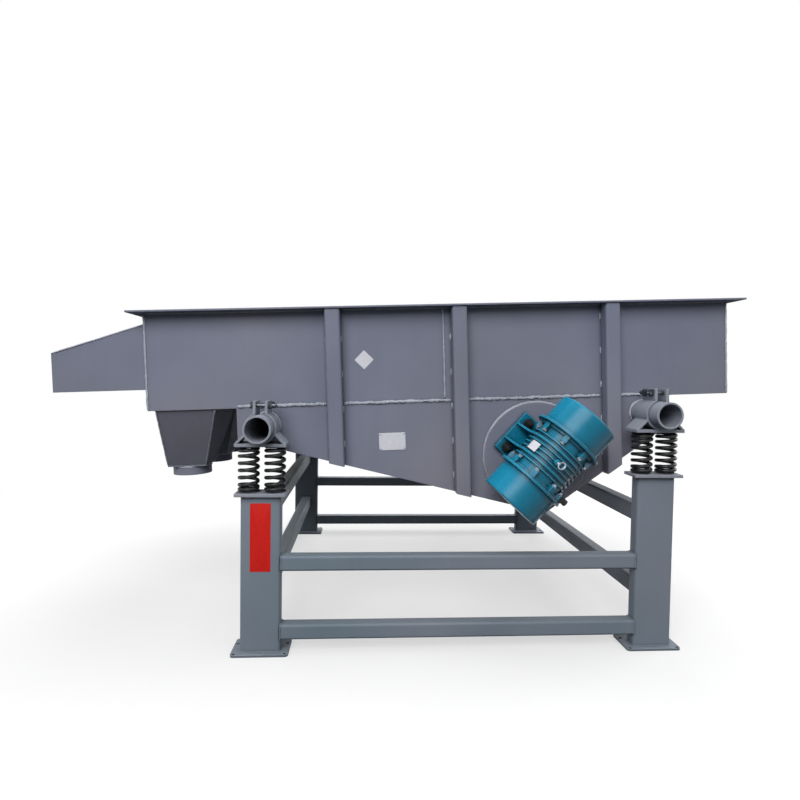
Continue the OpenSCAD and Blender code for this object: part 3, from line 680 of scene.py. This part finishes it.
# %% [markdown]
# ## Weld beads
# A bead is half an ellipse carried along a line, swollen where each drop of metal froze. On a flush seam
# the ellipse looks straight out of the plate. In a corner it looks out along the middle of the corner.
# A bump map would give ripples but no outline, so the bead is real geometry. Its length is cut into
# a whole number of ripples, so rings meet themselves, and open ends taper to a point.

# %% Bead along a path
RIPPLE, BEAD_STEP, BEAD_COLUMNS, SUNK = 9, 3, 7, 25
TALL_LUCK, WIDE_LUCK, ASIDE_LUCK, RIPPLE_LOW = 0.35, 0.25, 0.2, 0.6
hand_luck = np.random.default_rng(5)


def arc_length(path):
    """The length of a path up to each of its points: the running sum of its steps."""
    return np.concatenate([[0], np.cumsum(np.linalg.norm(np.diff(path, axis=0), axis=1))])


def bead(path, out, across, width, height, closed=False):
    """Across times cos t half width plus out times sin t height, with a chance size for each |sin| ripple."""
    arc = arc_length(path)
    ripples = max(2, round(arc[-1] / RIPPLE))
    drops = np.linspace(0, arc[-1], ripples + 1)
    chance = hand_luck.uniform(-1, 1, (3, ripples + 1))
    chance[:, -1] = chance[:, 0]
    tall_by, wide_by, aside = (np.interp(arc, drops, row) for row in chance)
    swell = np.abs(np.sin(np.pi * ripples * arc / arc[-1]))
    drop = (1 + TALL_LUCK * tall_by) * (RIPPLE_LOW + (1 - RIPPLE_LOW) * swell)
    hand = 1 + WIDE_LUCK * wide_by
    taper = 1 if closed else np.sqrt(np.clip(np.minimum(arc, arc[-1] - arc) / width, 0, 1))
    t = np.radians(np.linspace(-SUNK, 180 + SUNK, BEAD_COLUMNS))
    out, across = (np.broadcast_to(v, path.shape)[:, None] for v in (out, across))
    wide = ((hand * taper)[:, None] * np.cos(t) + ASIDE_LUCK * aside[:, None]) * width / 2
    tall = (drop * taper)[:, None] * np.sin(t) * height
    rows = path[:, None] + wide[..., None] * across + tall[..., None] * out
    return lattice(rows[:-1] if closed else rows, wrap_rows=closed, wrap_columns=True)


def fillet(path, face_1, face_2, leg, closed=False):
    """A bead in the corner between two faces with these normals, over about one leg of each."""
    out, across = unit(np.asarray(face_1) + face_2), unit(np.asarray(face_1) - face_2)
    return bead(path + 0.3 * leg * out, out, across, 1.35 * leg, 0.45 * leg, closed)


def line(start, end):
    """Points from start to end, about one bead step apart."""
    count = max(5, int(np.linalg.norm(end - start) / BEAD_STEP))
    return start + np.linspace(0, 1, count)[:, None] * (end - start)


def ring(centre, radius, e1, e2):
    """A closed circle of points, and the direction outwards at each: cos t e1 + sin t e2."""
    t = np.linspace(0, 2 * np.pi, int(2 * np.pi * radius / BEAD_STEP) + 1)[:, None]
    out = np.cos(t) * e1 + np.sin(t) * e2
    return centre + radius * out, out


print("a bead has a ripple every", RIPPLE, "mm and", BEAD_COLUMNS, "points across")

# %% [markdown]
# ## Seams of the box walls
# The wall meets the lower plate in a long flush seam, broken by the ribs, and the flange sits on a
# fillet. One upright seam joins two sheets beside the middle rib, and both ends of each wall are
# welded to the end plates. These are the lines that the eye follows on the real box.

# %% Wall seams
SEAM_W, SEAM_H, CORNER_W, CORNER_H, LEG = 12, 7, 8, 4, 6
SEAM_UP = 6  # the seam lies this far above the underside
SHEET_JOINT = RIBS[1, 0] - 25  # a little before the middle rib
lower_start, lower_end = reach("front_lower_plate", ALONG)
seam_runs = np.concatenate([[lower_start], RIBS.ravel(), [lower_end]]).reshape(-1, 2)
flange_runs = np.concatenate([[0], RIBS.ravel(), [BOX_L]]).reshape(-1, 2)


def wall_seams(side):
    """The flush seam, the flange fillet, the sheet joint and both end corners of one wall."""
    out, y = side * Y_AXIS, side * SIDE_Y
    made = [bead(line(*in_box(run, y, SEAM_UP)), out, UP, SEAM_W, SEAM_H) for run in seam_runs]
    made += [fillet(line(*in_box(run, y, BOX_H)), out, -UP, LEG) for run in flange_runs]
    joint = line(*in_box(SHEET_JOINT, y, [2 * SEAM_UP, BOX_H]))
    made.append(bead(joint, out, ALONG, SEAM_W / 2, SEAM_H / 2))
    for a, face in ((0, -ALONG), (BOX_L, ALONG)):
        path = line(*in_box(a, y, [0, BOX_H]))
        made.append(bead(path, unit(out + 0.5 * face), unit(face - 0.5 * out), CORNER_W, CORNER_H))
    return made


for name, side in SIDES.items():
    piece(f"{name}_wall_seams", join(wall_seams(side)), *BOX_WELD)

# %% [markdown]
# ## Stitches along the ribs
# The ribs only stiffen the wall, so they are stitched: a short weld, then a gap. Full-length welds
# would warp the sheet. From further off each stitch shows as a bright speck along the edge of its rib.

# %% Rib stitches
STITCH, STITCH_PITCH, STITCH_LEG, STITCH_FIRST = 26, 120, 5, 60


def rib_stitches(name, side):
    """Short fillets up both edges of each rib, one every pitch from its foot to the flange."""
    points = vertices(f"{name}_ribs") - low_end
    made = []
    for low, high in RIBS:
        here = (points @ ALONG > low - 1) & (points @ ALONG < high + 1)
        starts = np.arange((points @ UP)[here].min() + STITCH_FIRST, BOX_H - STITCH, STITCH_PITCH)
        for a, face in ((low, -ALONG), (high, ALONG)):
            paths = [line(*in_box(a, side * SIDE_Y, [h, h + STITCH])) for h in starts]
            made += [fillet(path, side * Y_AXIS, face, STITCH_LEG) for path in paths]
    return made


for name, side in SIDES.items():
    piece(f"{name}_rib_stitches", join(rib_stitches(name, side)), *BOX_WELD)

# %% [markdown]
# ## Welds inside the box and on its rim
# Seen from above, the feed end shows an upright fillet in both corners, the flange shows where its
# four bars are butted, and the chute's roof is welded to its sides. Each is one straight bead, so
# only the two end points and the two faces have to be named.

# %% Inner corners, rim joints and chute edges
EDGE_W, LOW_H = 6, 2
rim_top = reach("flange_sides", UP)[1]
rim_start, rim_end = reach("flange_ends", ALONG)
chute = vertices("chute_sides") - low_end
chute_mouth = (chute @ ALONG).min()
mouth_top = (chute @ UP)[chute @ ALONG < chute_mouth + 1].max()
root_top = (chute @ UP).max()
inner_welds = []
for side in SIDES.values():
    inner_welds.append(fillet(line(*in_box(BOX_L - WALL_T, side * INNER_Y, [mesh_top, BOX_H])),
                              -side * Y_AXIS, -ALONG, LEG))
    for run in ((rim_start, WALL_T), (BOX_L - WALL_T, rim_end)):
        inner_welds.append(bead(line(*in_box(run, side * INNER_Y, rim_top)), UP, Y_AXIS, CORNER_W, LOW_H))
    edge = line(*in_box([chute_mouth, 0], side * SIDE_Y, [mouth_top, root_top]))
    inner_welds.append(bead(edge, unit(UP + side * Y_AXIS), unit(UP - side * Y_AXIS), EDGE_W, LOW_H))
inner_welds.append(fillet(line(*in_box(0, [-SIDE_Y, SIDE_Y], root_top)), UP, -ALONG, LEG))
piece("rim_and_chute_welds", join(inner_welds), *BOX_WELD)

# %% [markdown]
# ## Rings round tubes and seats
# The cross tubes and the motor beam pass through or meet the side plates, and each motor seat is a disc
# on its plate. They are welded all round. A ring is the same bead on a closed circle, and its
# corner lies between the plate and the round side.

# %% Ring welds
RING_LEG, TUBE_LEG = 8, 7


def round_weld(centre, radius, y, face, leg):
    """A fillet all round something that stands square on a plate at y."""
    path, out = ring(centre * (X_AXIS + Z_AXIS) + y * Y_AXIS, radius, X_AXIS, Z_AXIS)
    return fillet(path, out, face * Y_AXIS, leg, closed=True)


tubes = [vertices(n) for n in ("discharge_tube", "feed_tube")]
beam = vertices("motor_beam")
TUBE_R, BEAM_R = np.ptp(tubes[0][:, 2]) / 2, np.ptp(beam[:, 2]) / 2
for name, side in SIDES.items():
    rings = [round_weld(SEAT_MID, SEAT_R, side * SIDE_Y, side, RING_LEG)]
    rings += [round_weld(middle(t), TUBE_R, side * SIDE_Y, side, TUBE_LEG) for t in tubes]
    rings += [round_weld(middle(t), TUBE_R, side * INNER_Y, -side, RING_LEG) for t in tubes]
    rings.append(round_weld(middle(beam), BEAM_R, side * INNER_Y, -side, RING_LEG))
    piece(f"{name}_ring_welds", join(rings), *BOX_WELD)

# %% [markdown]
# ## Welds on the outlets
# Four funnels are folded from sheet and closed at their corners, and a round collar hangs from each.
# The corner lines run from the wide top to the narrow foot, so they follow from the funnel's own size
# and need no angles.

# %% Outlet welds
SHEET_W, SHEET_H, COLLAR_PLATE, INSET = 6, 2, 4, 2
funnel_start, funnel_end = reach("outlet_funnels", ALONG)
funnel_foot = reach("outlet_funnels", UP)[0]
collars = spans(vertices("outlet_collars")[:, 1], gap=20)
OUTLET_R = np.ptp(collars[0]) / 2
funnel_half = INNER_Y / len(collars)
outlet_welds = []
for mid_y in collars.mean(1):
    path, out = ring(in_box(funnel_start + OUTLET_R, mid_y, funnel_foot - COLLAR_PLATE - SHEET_W / 2),
                     OUTLET_R, ALONG, Y_AXIS)
    outlet_welds.append(bead(path, out, UP, SHEET_W, SHEET_H, closed=True))
    for s in (-1, 1):
        for top_a, foot_a, face in ((funnel_start, funnel_start, -ALONG),
                                    (funnel_end, funnel_start + 2 * OUTLET_R, ALONG)):
            corner_y = mid_y + s * np.array([funnel_half, OUTLET_R])
            ends = in_box([top_a, foot_a], corner_y, [-INSET, funnel_foot + INSET])
            out, across = unit(face + s * Y_AXIS), unit(face - s * Y_AXIS)
            outlet_welds.append(bead(line(*ends), out, across, SHEET_W, SHEET_H))
for a, face in ((funnel_start, -ALONG), (funnel_end, ALONG)):
    outlet_welds.append(fillet(line(*in_box(a, [-INNER_Y, INNER_Y], 0)), face, -UP, LEG))
piece("outlet_welds", join(outlet_welds), *BOX_WELD)

# %% [markdown]
# ## Welds on the base
# Legs, feet, caps, rails and beams are square tube and plate, welded all round with small tidy
# fillets. The path is a rounded rectangle, stepped evenly by its arc length so that the ripples keep
# one size round the corners. They are painted with the frame.

# %% Base welds
LEG_CORNER, RAIL_CORNER, BASE_LEG = 10, 8, 4


def tube_ring(centre, size, corner, e1, e2):
    """A closed rounded rectangle in even steps of arc length, and the direction outwards at each point."""
    outline, d = (np.vstack([v, v[:1]]) for v in rounded(size, corner))
    arc = arc_length(outline)
    even = np.linspace(0, arc[-1], int(arc[-1] / BEAD_STEP))
    at, out = (np.stack([np.interp(even, arc, v[:, i]) for i in (0, 1)], axis=1) for v in (outline, d))
    return centre + at @ np.stack([e1, e2]), unit(out @ np.stack([e1, e2]))


def end_welds(points, axis, e1, e2, corner):
    """Fillets all round both ends of the square tube that these points belong to."""
    low, high = points.min(0), points.max(0)
    made = []
    for end, face in ((low @ axis, axis), (high @ axis, -axis)):
        centre = middle(points) * (e1 + e2) + end * axis
        path, out = tube_ring(centre, ((high - low) @ e1, (high - low) @ e2), corner, e1, e2)
        made.append(fillet(path, out, face, BASE_LEG, closed=True))
    return made


base_welds = []
for name in [n for n in nodes if n.startswith("leg_") and n != "leg_caps"]:
    base_welds += end_welds(vertices(name), Z_AXIS, X_AXIS, Y_AXIS, LEG_CORNER)
for name in ("front_rails", "rear_rails", "discharge_beams", "feed_beams"):
    points = vertices(name)
    axis, sideways = (X_AXIS, Y_AXIS) if name.endswith("rails") else (Y_AXIS, X_AXIS)
    for z_low, z_high in spans(points[:, 2], gap=40):
        tube = points[(points[:, 2] >= z_low) & (points[:, 2] <= z_high)]
        base_welds += end_welds(tube, axis, sideways, Z_AXIS, RAIL_CORNER)
piece("base_welds", join(base_welds), FRAME_PAINT, "base_frame", "frame_paint")

# %% [markdown]
# ## Clamp bolts
# A saddle grips its cross tube when two bolts pull its ears together. Each bolt is a head, a shank
# between the ears, and a nut with the end of the thread on the side that faces the middle of the
# machine. Linked copies of one bolt would do, but stamped copies keep all of them in one mesh.

# %% Clamp bolts
EAR_OUT, BOLT_DROP, BOLT_Y, SHANK_R = 23, 14.7, 21, 6
WASHER_D, WASHER_T, FLATS, HEAD_H, NUT_H = 24, 2.5, 19, 8, 10
thread_end = turned([(SHANK_R, 0), (SHANK_R, 8), (SHANK_R - 1, 9)])
shank = turned([(SHANK_R, 0), (SHANK_R, 2 * EAR_OUT)])
clamp_head = bolt_head(WASHER_D, WASHER_T, FLATS, HEAD_H)
clamp_nut = join([bolt_head(WASHER_D, WASHER_T, FLATS, NUT_H), raised(thread_end, WASHER_T + NUT_H)])
clamps = []
for name in ("front_saddles", "rear_saddles"):
    points = vertices(name)
    for x_low, x_high in spans(points[:, 0], gap=200):
        here = points[(points[:, 0] >= x_low) & (points[:, 0] <= x_high)]
        centre = middle(here) * (X_AXIS + Y_AXIS) + (here[:, 2].max() - BOLT_DROP) * Z_AXIS
        inward = np.sign(middle(points)[0] - centre[0]) * X_AXIS
        places = centre + np.array([[-BOLT_Y], [BOLT_Y]]) * Y_AXIS
        near, far = places - EAR_OUT * inward, places + EAR_OUT * inward
        clamps += [stamp(clamp_nut, far, inward), stamp(shank, near, inward),
                   stamp(clamp_head, near, -inward)]
piece("clamp_bolts", join(clamps), DARK_STEEL, "screen_box", "mesh_steel")

# %% [markdown]
# ## Motor bolts
# Four large black nuts hold each motor's feet to its seat, and a ring of small bolts under the lugs
# holds each end flange. The lugs stand at even turns round the shaft, so one array of angles places
# them all.

# %% Foot nuts and lug bolts
CORE_L, FLANGE_T, LUG_L, LUGS, LUG_BOLT_R = 190, 8, 26, 8, 98
FOOT_T, FOOT_ALONG, FOOT_ACROSS, STUD_R, FOOT_WASHER_T, FOOT_NUT_H = 20, 112, 206, 8, 3, 15
stud_end = turned([(STUD_R, 0), (STUD_R, 9), (0.7 * STUD_R, 12)])
foot_nut = join([bolt_head(36, FOOT_WASHER_T, 26, FOOT_NUT_H), raised(stud_end, FOOT_WASHER_T + FOOT_NUT_H)])
lug_bolt = bolt_head(washer_d=17, washer_t=1.5, flats=13, height=7)
CORNERS = np.array([[-1, -1], [-1, 1], [1, -1], [1, 1]]) / 2
lug_turns = even_turns(LUGS, 0.5)
lug_face = CORE_L / 2 - FLANGE_T - LUG_L
foot_nuts, lug_bolts = [], []
for side in SIDES.values():
    places = on_motor(side, FOOT_ALONG * CORNERS[:, 0], FOOT_T, FOOT_ACROSS * CORNERS[:, 1])
    foot_nuts.append(stamp(foot_nut, places, side * Y_AXIS))
    lug_bolts += [stamp(lug_bolt, round_shaft(side, end * lug_face, LUG_BOLT_R, lug_turns), -end * SHAFT)
                  for end in (-1, 1)]
piece("motor_foot_nuts", join(foot_nuts), BLACK_OXIDE, "screen_box", "spring_steel")
piece("motor_lug_bolts", join(lug_bolts), *BOX_ZINC)

# %% [markdown]
# ## Lifting eyes
# A motor this heavy has a small zinc plated eye to lift it by, set in a boss between the fins and
# leaning to its lower side. Blender has a torus of its own, but as a grid it joins its shank and is
# stamped like the bolts.

# %% Lifting eyes
EYE_R, EYE_ROD, EYE_LEAN, EYE_UP, FIN_R = 11.5, 3.4, 0.55, 8, 100
BOSS_H, BOSS_R, BOSS_ROOT = 6, 11, 6


def lifting_eye():
    """A torus on a shank: x = (R + r cos p) cos t, y = r sin p, z = (R + r cos p) sin t above the boss."""
    t, p = even_turns(32)[:, None], even_turns(12)
    r = EYE_R + EYE_ROD * np.cos(p)
    z = BOSS_H + EYE_ROD + EYE_R + r * np.sin(t)
    torus = np.stack([r * np.cos(t), EYE_ROD * np.sin(p) + 0 * t, z], axis=-1)
    shank = turned([(6, 0), (6, BOSS_H + 2), (4.5, BOSS_H + 5)])
    return join([lattice(torus, wrap_rows=True, wrap_columns=True), shank])


boss = turned([(BOSS_R, -BOSS_ROOT), (BOSS_R, BOSS_H - 3), (BOSS_R - 2, BOSS_H)])
eyes, bosses = ([stamp(shape, on_motor(side, 0, SHAFT_H + FIN_R, EYE_UP), side * Y_AXIS - lean * THROW, SHAFT)
                 for side in SIDES.values()] for shape, lean in ((lifting_eye(), EYE_LEAN), (boss, 0)))
piece("motor_lifting_eyes", join(eyes), *BOX_ZINC)
piece("motor_eye_bosses", join(bosses), ENAMEL, "screen_box", "motor_enamel")

# %% [markdown]
# ## Blank plates
# A riveted plate and two films sit on the flat faces, all blank: thin bodies with round corners, just
# proud of the paint. A beveled cube could make them. Here the outline is drawn at full size, drawn in
# a little at the shoulder, and closed at the middle, so its rim catches the light as a real edge does.

# %% Plates and films on flat faces
CRISP, INTO_PAINT = 15, 0.3
FILM_T, FILM_CORNER, DIAMOND, LEG_FILM, LEG_FILM_Z = 0.8, 3, (47, 47), (66, 224), 385
NAME_SIZE, NAME_T, NAME_CORNER, RIVET_IN = np.array([92, 60]), 1.6, 4, 5


def plate(size, thickness, corner):
    """Rows of one rounded rectangle: back, rim, shoulder and face, with both sides closed at the middle."""
    outline, _ = rounded(size, corner)
    shoulder = 1 - thickness / min(size)
    rows = [(0, -INTO_PAINT), (1, -INTO_PAINT), (1, 0.6 * thickness), (shoulder, thickness), (0, thickness)]
    grid = [np.column_stack([share * outline, np.full(len(outline), z)]) for share, z in rows]
    return lattice(np.stack(grid), wrap_columns=True)


def laid(shape, origin, e1, e2):
    """A shape drawn in x and y, put on a plane with axes e1 and e2."""
    return origin + shape[0] @ np.stack([e1, e2, np.cross(e1, e2)]), shape[1]


name_at, diamond_at = in_box([821, 732], -SIDE_Y, [-131, 154])
name_plate = laid(plate(NAME_SIZE, NAME_T, NAME_CORNER), name_at, ALONG, UP)
piece("name_plate_blank", name_plate, PALE_FILM, "screen_box", "mesh_steel", CRISP)
rivet = turned([(3, 0), (2.8, 1), (1.8, 1.8), (0, 2)], columns=12)
rivets_at = name_at - NAME_T * Y_AXIS + CORNERS * (NAME_SIZE - 2 * RIVET_IN) @ np.stack([ALONG, UP])
piece("name_plate_rivets", stamp(rivet, rivets_at, -Y_AXIS), *BOX_ZINC)
diamond = laid(plate(DIAMOND, FILM_T, FILM_CORNER), diamond_at, unit(ALONG + UP), unit(UP - ALONG))
piece("diamond_film_blank", diamond, PALE_FILM, "screen_box", "mesh_steel", CRISP)
leg = vertices("leg_front_left")
film_at = np.array([middle(leg)[0], leg[:, 1].min(), LEG_FILM_Z])
leg_film = laid(plate(LEG_FILM, FILM_T, FILM_CORNER), film_at, X_AXIS, Z_AXIS)
piece("leg_film_blank", leg_film, RED_FILM, "base_frame", "frame_paint", CRISP)

# %% [markdown]
# ## The film on the motor
# One small film is stuck over the fins, so it bends with them. A Shrinkwrap modifier could bend a flat
# one, but on a round motor the bend is simply the film's height as an angle: height over radius.

# %% Film on the motor
def bent_film(side, s, turn, width, height):
    """A loop of rows below and above: s runs along the shaft, and the turn grows by height over radius."""
    along = s + width * np.linspace(-0.5, 0.5, 7)[:, None]
    bend = turn + height / FIN_R * np.linspace(-0.5, 0.5, 9)
    along, bend = np.broadcast_arrays(along, bend)
    under, over = (round_shaft(side, along, FIN_R + lift, bend) for lift in (0.1, FILM_T))
    loop = np.concatenate([under, over[:, ::-1]], axis=1)
    ends = [np.broadcast_to(row.mean(0), row.shape)[None] for row in (loop[0], loop[-1])]
    return lattice(np.concatenate([ends[0], loop, ends[1]]), wrap_columns=True)


motor_film = bent_film(SIDES["front"], s=-5, turn=math.radians(59), width=31, height=36)
piece("motor_film_blank", motor_film, PALE_FILM, "screen_box", "mesh_steel")

# %% [markdown]
# ## Floor
# The machine stands on a plain pale floor that keeps its soft shadow and fades into white further out.
# A real white floor would throw light up under the box and flatten it, so only the camera and mirrors
# see it pale. Bounced light sees a mid grey.

# %% Floor
FLOOR_R, FADE_FROM, FADE_TO, NEAR_WHITE = 9.0, 1.5, 3.4, 0.55
FLOOR_GRAIN, BOUNCE_GREY, FLOOR_DROP = 60, "#5c5c5c", 0.5 * MM


def straight_ray(tree):
    """One for rays from the camera, off a mirror or through glass, and nought for bounced light."""
    rays = add(tree, "LightPath").outputs
    shiny = add(tree, "Math", {0: rays["Is Glossy Ray"], 1: rays["Is Transmission Ray"]}, operation="MAXIMUM")
    return add(tree, "Math", {0: rays["Is Camera Ray"], 1: shiny}, operation="MAXIMUM")


def floor_finish():
    """Matt floor whose own light grows with the distance from the machine, for straight rays only."""
    material, tree, where = start_material("pale_matt_floor")
    rays = straight_ray(tree)
    grain = add(tree, "TexNoise", {"Vector": where, "Scale": per_metre(FLOOR_GRAIN), "Detail": 3.0})
    tone = add(tree, "MapRange", {0: grain, 3: 0.86, 4: 0.9})
    seen_tone = add(tree, "Mix", {0: rays, 6: linear(BOUNCE_GREY), 7: tone}, data_type="RGBA")
    matt = add(tree, "BsdfDiffuse", {"Color": seen_tone})
    white = add(tree, "Emission", {"Color": (1.0, 1.0, 1.0, 1.0)})
    away = add(tree, "VectorMath", {0: where}, operation="LENGTH")
    fade = add(tree, "MapRange", {0: away, 1: FADE_FROM, 2: FADE_TO, 3: NEAR_WHITE, 4: 1.0},
               interpolation_type="SMOOTHSTEP")
    seen = add(tree, "Math", {0: rays, 1: fade}, operation="MULTIPLY")
    mixed = add(tree, "MixShader", {0: seen, 1: matt, 2: white})
    add(tree, "OutputMaterial", {"Surface": mixed})
    return material


t = even_turns(64)
rim = np.stack([FLOOR_R * np.cos(t), FLOOR_R * np.sin(t), 0 * t - FLOOR_DROP], axis=1)
floor_mesh = bpy.data.meshes.new("floor")
floor_mesh.from_pydata(rim, [], [range(len(rim))])
floor_mesh.materials.append(floor_finish())
floor = linked("floor", floor_mesh)
print("floor of radius", FLOOR_R, "m")

# %% [markdown]
# ## Light
# Large soft boxes stand in front, above, behind and at both ends, as in a car studio. The main one is
# high in front, because the box should be lit from above, with dark undersides. The world is white to
# the camera and in reflections and dim as a lamp, so the lamps alone set the level.

# %% World and lamps
AMBIENT, AIM = 0.08, Vector((0, 0, 0.7))
world = bpy.data.worlds.new("studio")
bpy.context.scene.world = world
world.use_nodes = True
sky = world.node_tree
sky.nodes.clear()
dim, bright = (add(sky, "Background", {"Color": (1.0, 1.0, 1.0, 1.0), "Strength": s}) for s in (AMBIENT, 1.0))
both = add(sky, "MixShader", {0: straight_ray(sky), 1: dim, 2: bright})
add(sky, "OutputWorld", {"Surface": both})


def soft_box(name, place, size, watts):
    """A square lamp that faces the middle of the machine."""
    data = bpy.data.lights.new(name, "AREA")
    data.energy, data.size = watts, size
    lamp = linked(name, data)
    lamp.visible_camera = False
    lamp.location = place
    lamp.rotation_euler = (AIM - lamp.location).to_track_quat("-Z", "Y").to_euler()
    print(name, watts, "W")


soft_box("key", (-1.4, -5.0, 4.2), 4.0, 305)
soft_box("fill", (3.8, -4.4, 3.0), 3.0, 32)
soft_box("top", (0.4, 0.4, 5.4), 4.5, 200)
soft_box("back", (0.8, 5.2, 4.0), 4.0, 220)
soft_box("discharge_end", (-5.4, 0.8, 3.2), 3.5, 80)
soft_box("feed_end", (5.6, 0.6, 3.2), 3.5, 130)
bpy.context.scene.view_settings.view_transform = "Standard"
